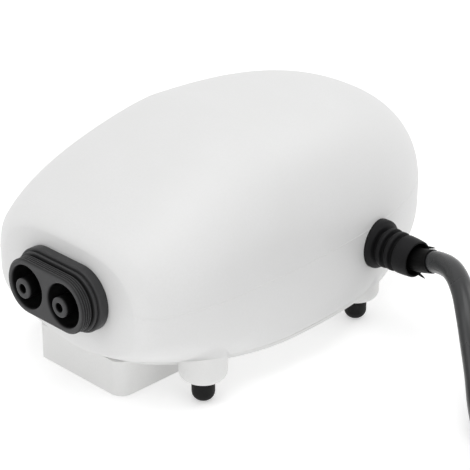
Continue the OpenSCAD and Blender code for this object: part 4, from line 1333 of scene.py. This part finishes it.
@dataclass
class MainsLead:
    """Round mains lead: from the sleeve over an arch to the floor, then a tied coil and a plug.

    The routes are the part source's own points. The coil lies beside the body, outside the
    camera's view.
    """

    diameter: float = 5.2
    coil_at: Spot = (112.0, 20.5)
    coil_r: float = 31.2
    low_z: float = 3.4
    route: tuple[tuple[float, float, float], ...] = (
        (36, 21.3, 21.7), (39, 21.3, 21.7), (42.5, 21.3, 22), (48, 21, 23.5), (54, 18.5, 24.5),
        (60, 14.5, 23.5), (65, 10.5, 20.5), (69, 7.5, 16), (73, 4.5, 11), (77, 1, 6.5),
        (82, -3, 3.5), (87.5, -7.5, 2.6), (94, -12, 2.6), (103, -15.2, 2.8), (112, -15.9, 3.4))
    plug_route: tuple[tuple[float, float, float], ...] = (
        (94, -11, 9.5), (102.5, -14.5, 11.5), (112, -16, 13.5), (121.5, -14.3, 15.5),
        (130, -9, 17), (135, -1.5, 17.8), (137, 6.5, 18), (137, 10, 18), (137, 13.5, 18))
    # Degrees between the coil's points, and pieces between two points of the curve
    coil_step: float = 15.0
    between: int = 5
    sides: int = 20
    # Degrees at which the coil starts and ends, and where it changes lane or layer
    turns: Spot = (-90.0, 1660.0)
    inward: tuple[Spot, ...] = ((150, 250), (510, 610))
    outward: tuple[Spot, ...] = ((1110, 1205), (1470, 1565))
    rise: Spot = (780, 870)

    def coil(self) -> Array:
        """Works out the coil's centreline: nearly five turns, in three lanes and two layers.

        At the angle a its radius is the middle lane's plus one diameter for the outer lane.
        A smooth step takes one diameter off at each inward change and adds it back at each
        outward one, and one more lifts the lead by a diameter into the upper layer.

        Returns:
            Points in millimetres, n by 3.
        """
        a = np.arange(self.turns[0] + self.coil_step, self.turns[1], self.coil_step)
        lanes = 1 - sum(smooth_step((a - p) / (q - p)) for p, q in self.inward)
        lanes = lanes + sum(smooth_step((a - p) / (q - p)) for p, q in self.outward)
        r = self.coil_r + self.diameter * lanes
        up = smooth_step((a - self.rise[0]) / (self.rise[1] - self.rise[0]))
        t = np.radians(a)
        return np.stack([self.coil_at[0] + r * np.cos(t), self.coil_at[1] + r * np.sin(t),
                         self.low_z + self.diameter * up], axis=1)

    @staticmethod
    def smooth(points: Array, between: int) -> Array:
        """Draws a Catmull-Rom curve through points, which meets each with half the chord's run.

        Args:
            points: Points, n by 3.
            between: Pieces that each stretch is cut into.

        Returns:
            Points of the curve.
        """
        p = np.concatenate([points[:1], points, points[-1:]])
        a, b, c, d = p[:-3, None], p[1:-2, None], p[2:-1, None], p[3:, None]
        u = np.linspace(0, 1, between, endpoint=False)[None, :, None]
        curve = b + u * ((c - a) / 2 + u * ((2 * a - 5 * b + 4 * c - d) / 2
                                            + u * (3 * b - a - 3 * c + d) / 2))
        return np.concatenate([curve.reshape(-1, 3), points[-1:]])

    def path(self) -> Array:
        """Works out the lead's smooth centreline from the sleeve to the plug.

        Returns:
            Points in millimetres, n by 3, nowhere lower than a lead on the floor.
        """
        chosen = [np.array(self.route), self.coil(), np.array(self.plug_route)]
        line = self.smooth(np.concatenate(chosen), self.between)
        line[:, 2] = np.maximum(line[:, 2], self.diameter / 2)
        return line

    def cord(self) -> Object:
        """Returns:
            The lead's piece, standing for its three CAD nodes.
        """
        path = self.path()
        steps = np.linalg.norm(np.diff(path, axis=0), axis=1)
        piece = make_piece("mains_lead", [tube(path, self.diameter / 2, self.sides)], "cord_pvc")
        self._unwrap(piece.data, path, np.concatenate([[0], np.cumsum(steps)]))
        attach(piece, "root")
        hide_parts("power_cord", "cord_coil", "plug_lead")
        return piece

    def _unwrap(self, mesh: bpy.types.Mesh, path: Array, distance: Array) -> None:
        """Gives the lead a UV map: u round it and v along it, both in metres.

        Where a face crosses the line at which u starts again, its corners are moved by the
        lead's girth to stay beside its first one.

        Args:
            mesh: The lead's mesh.
            path: Its centreline in millimetres.
            distance: How far along the lead each point of that line lies.
        """
        places = mesh_points(mesh) / MM
        nearest = np.array([np.argmin(np.sum((path - p) ** 2, axis=1)) for p in places])
        across = level_across(np.gradient(path, axis=0)[nearest])
        out = places - path[nearest]
        turn = np.arctan2(out[:, 2], np.sum(out * across, axis=1))
        uv = np.stack([turn * self.diameter / 2, distance[nearest]], axis=1) * MM
        spread = uv[read(mesh.loops, "vertex_index")]
        first = np.repeat(spread[read(mesh.polygons, "loop_start"), 0],
                          read(mesh.polygons, "loop_total"))
        girth = math.pi * self.diameter * MM
        spread[:, 0] -= girth * np.round((spread[:, 0] - first) / girth)
        mesh.uv_layers.new(name="sheath").data.foreach_set("uv", spread.ravel())


@dataclass
class Diaphragm:
    """Rubber diaphragm of one side, held at its rim and worked at its hub."""

    side: str
    hub_t: float = 1.0
    rim_t: float = 1.6

    def stretch(self) -> Object:
        """Makes the diaphragm's own piece from its CAD node's merged mesh.

        Returns:
            The diaphragm's piece, standing for its CAD node.
        """
        name = f"{self.side}_diaphragm"
        piece = make_piece(f"{name}_rubber", [merged_node(name)], "hose_rubber", sharp=35)
        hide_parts(name)
        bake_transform(piece)
        return piece


# ---------------------------------------------------------------- CAD nodes and stage
def dress_nodes() -> None:
    """Gives every CAD node the finish of its slot."""
    for name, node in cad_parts.items():
        slot = NODE_SLOTS[name.removeprefix("right_").removeprefix("left_")]
        node.data.materials.clear()
        node.data.materials.append(finish_of(slot))
        LOG.info("%s: %s", name, FINISHES[slot].name)


@dataclass(frozen=True)
class Lamp:
    """One soft box.

    Attributes:
        name: The lamp's name.
        azimuth: Side that it shines from, in degrees; 0 is in front of the outlets.
        elevation: Height above the horizon in degrees.
        distance: Distance from the object in metres.
        size: Side of its square face in metres.
        power: Power in watts.
        aim_z: Height in metres of what it shines at.
    """

    name: str
    azimuth: float
    elevation: float
    distance: float
    size: float
    power: float
    aim_z: float = 0.03

    def make(self) -> None:
        """Makes the lamp, turned towards the object."""
        data = bpy.data.lights.new(self.name, "AREA")
        data.shape = "SQUARE"
        data.size = self.size
        data.energy = self.power
        lamp = link_object(self.name, data)
        a, e = math.radians(self.azimuth), math.radians(self.elevation)
        back = Vector((math.sin(a) * math.cos(e), -math.cos(a) * math.cos(e), math.sin(e)))
        lamp.location = back * self.distance + Vector((0, 0, self.aim_z))
        lamp.rotation_mode = "QUATERNION"
        lamp.rotation_quaternion = (-back).to_track_quat("-Z", "Y")


@dataclass
class Studio:
    """Pale floor, soft boxes and an even surround."""

    lamps: tuple[Lamp, ...] = (
        Lamp("soft_box_above", 20, 80, 1.2, 0.9, 4.6),
        Lamp("soft_box_front", -25, 35, 1.4, 0.8, 1.7),
        Lamp("soft_box_right", 95, 14, 1.3, 0.9, 1.3),
        Lamp("soft_box_behind", 160, 42, 1.4, 0.7, 2.4),
    )
    ambient: float = 0.54
    floor_size: float = 6.0
    floor_seen: float = 0.45
    floor_glow: float = 0.31

    def make(self) -> None:
        """Sets the view, the surround, the lamps and the floor."""
        scene = bpy.context.scene
        scene.view_settings.view_transform = "Standard"
        for lamp in self.lamps:
            lamp.make()
        self._surround(scene)
        self._floor()

    @staticmethod
    def _seen_level(tree: Tree, other: float, seen: float) -> Socket:
        """Adds a strength that differs for camera, mirror and see-through rays.

        Args:
            tree: Node tree that it goes into.
            other: Strength for every other ray.
            seen: Strength for those three.

        Returns:
            The strength's socket.
        """
        path = add_node(tree, "LightPath").outputs
        first = math_node(tree, "MAXIMUM", path["Is Camera Ray"], path["Is Glossy Ray"])
        switch = math_node(tree, "MAXIMUM", first, path["Is Transmission Ray"])
        return range_node(tree, switch, target=(other, seen))

    def _surround(self, scene: bpy.types.Scene) -> None:
        """Makes the surround white where it is seen, and an even soft light elsewhere."""
        world = bpy.data.worlds.new("studio_surround")
        world.use_nodes = True
        scene.world = world
        shader = world.node_tree.nodes["Background"]
        shader.inputs["Color"].default_value = (1, 1, 1, 1)
        level = self._seen_level(world.node_tree, self.ambient, 1.0)
        world.node_tree.links.new(level, shader.inputs["Strength"])

    def _floor(self) -> None:
        """Makes the floor: a softly lit table that looks white and still takes the shadow."""
        s = self.floor_size / 2
        mesh = bpy.data.meshes.new("paper_floor")
        mesh.from_pydata([(-s, -s, 0), (s, -s, 0), (s, s, 0), (-s, s, 0)], [], [(0, 1, 2, 3)])
        floor = link_object("paper_floor", mesh)
        material = bpy.data.materials.new("white_paper_matt")
        material.use_nodes = True
        tree = material.node_tree
        shader = tree.nodes["Principled BSDF"]
        shader.inputs["Base Color"].default_value = linear_rgb("#E6E6E6")
        shader.inputs["Roughness"].default_value = 1.0
        shader.inputs["Specular IOR Level"].default_value = 0.0
        level = self._seen_level(tree, self.floor_glow, self.floor_seen)
        glow = add_node(tree, "Emission", inputs={"Strength": level})
        both = add_node(tree, "AddShader", inputs={0: shader.outputs[0], 1: glow.outputs[0]})
        tree.links.new(both.outputs[0], tree.nodes["Material Output"].inputs["Surface"])
        mesh.materials.append(material)


# ---------------------------------------------------------------- reports
class PointReport:
    """Finds where each named thing shows in the image, for its image point."""

    # Vertices of an edge that are tried before one that may be hidden is taken
    most_tried = 4000
    # Distance in metres before a place at which the line of sight to it ends
    short_of = 0.0004

    def __init__(self, pieces: dict[str, Object]) -> None:
        """Keeps the finished pieces and where their points show.

        Args:
            pieces: Finished pieces by name.
        """
        graph = bpy.context.evaluated_depsgraph_get()
        self.places = {name: mesh_points(piece.evaluated_get(graph).to_mesh())
                       for name, piece in pieces.items()}
        self.trees = [surface_tree(piece) for piece in pieces.values()]

    def _seen(self, place: Array) -> bool:
        """Tells whether nothing hides a place from the camera."""
        eye = Vector(CAMERA.eye() * MM)
        sight = Vector(place) - eye
        reach = sight.length - self.short_of
        sight.normalize()
        return all(tree.ray_cast(eye, sight, reach)[0] is None for tree in self.trees)

    def _within(self, piece: str, low: tuple, high: tuple) -> Array:
        """Returns a piece's points in metres that lie between two corners in millimetres."""
        places = self.places[piece]
        return places[np.all((places / MM > low) & (places / MM < high), axis=1)]

    def edge(self, piece: str, side: str, low: tuple = (-math.inf,) * 3,
             high: tuple = (math.inf,) * 3) -> tuple[float, float]:
        """Finds the outermost shown point of a piece, between two corners.

        Args:
            piece: The piece's name.
            side: "left", "right", "top" or "bottom".
            low: Lowest corner in millimetres.
            high: Highest corner in millimetres.

        Returns:
            Its pixel x and y.
        """
        places = self._within(piece, low, high)
        pixels = CAMERA.project(places)
        value = pixels[:, 0 if side in ("left", "right") else 1]
        order = np.argsort(value if side in ("left", "top") else -value)
        first = next((i for i in order[:self.most_tried] if self._seen(places[i])), order[0])
        return float(pixels[first, 0]), float(pixels[first, 1])

    def middle(self, piece: str, low: tuple, high: tuple) -> tuple[float, float]:
        """Finds the middle of what shows of a piece between two corners.

        Args:
            piece: The piece's name.
            low: Lowest corner in millimetres.
            high: Highest corner in millimetres.

        Returns:
            Pixel x and y of the middle of its shown extent.
        """
        inside = self._within(piece, low, high)
        shown = [p for p in inside if self._seen(p)]
        pixels = CAMERA.project(np.array(shown) if shown else inside)
        centre = (pixels.min(axis=0) + pixels.max(axis=0)) / 2
        return float(centre[0]), float(centre[1])

    def near(self, piece: str, point: str) -> tuple[float, float]:
        """Finds the point of a piece that shows nearest to an image point."""
        pixels = CAMERA.project(self.places[piece])
        gap = np.sum((pixels - np.array(IMAGE_POINTS[point])) ** 2, axis=1)
        return tuple(float(v) for v in pixels[np.argmin(gap)])

    def write(self) -> None:
        shown = {
            "housing_top": self.edge("housing", "top"),
            "housing_right": self.edge("housing", "right"),
            "base_bottom": self.edge("base", "bottom"),
            "outlet_left": self.edge("block", "left"),
            "outlet_top": self.edge("block", "top", (-60, -57.6, 0), (60, -56.6, 60)),
            "left_nozzle": self.middle("nozzles", (-20, -59, 0), (0, -58.0, 60)),
            "right_nozzle": self.middle("nozzles", (0, -59, 0), (20, -58.0, 60)),
            "front_foot": self.edge("feet", "bottom", (0, -60, -1), (60, 0, 60)),
            "rear_foot": self.edge("feet", "bottom", (0, 0, -1), (60, 60, 60)),
            "grommet_end": self.middle("grommet", (40.9, 0, 0), (41.3, 60, 60)),
            "parting_line": self.near("line", "parting_line"),
            "flash_above": self.near("flash", "flash_above"),
            "flash_below": self.near("flash", "flash_below"),
        }


def main() -> None:
    """Builds the pump's looks in order: camera and lead, shell, outlets, fittings, studio."""
    logging.basicConfig(level=logging.INFO, format="%(name)s %(message)s")
    CAMERA.make()
    dress_nodes()
    grommet = Grommet()
    lead = MainsLead()
    sleeve = grommet.sleeve(lead.path())
    lead.cord()
    housing = Housing()
    base = BasePlate().build(housing)
    shell = housing.shell()
    line = housing.parting_line(surface_tree(shell))
    outlets = Outlets()
    block = outlets.block()
    nozzles = outlets.nozzles()
    feet = Feet().buttons()
    for side in ("right", "left"):
        Diaphragm(side).stretch()
    flash = grommet.flash(surface_tree(sleeve))
    Studio().make()
    PointReport({"housing": shell, "base": base, "block": block,
                 "nozzles": nozzles, "feet": feet, "grommet": sleeve, "line": line,
                 "flash": flash}).write()


if __name__ == "__main__":
    main()
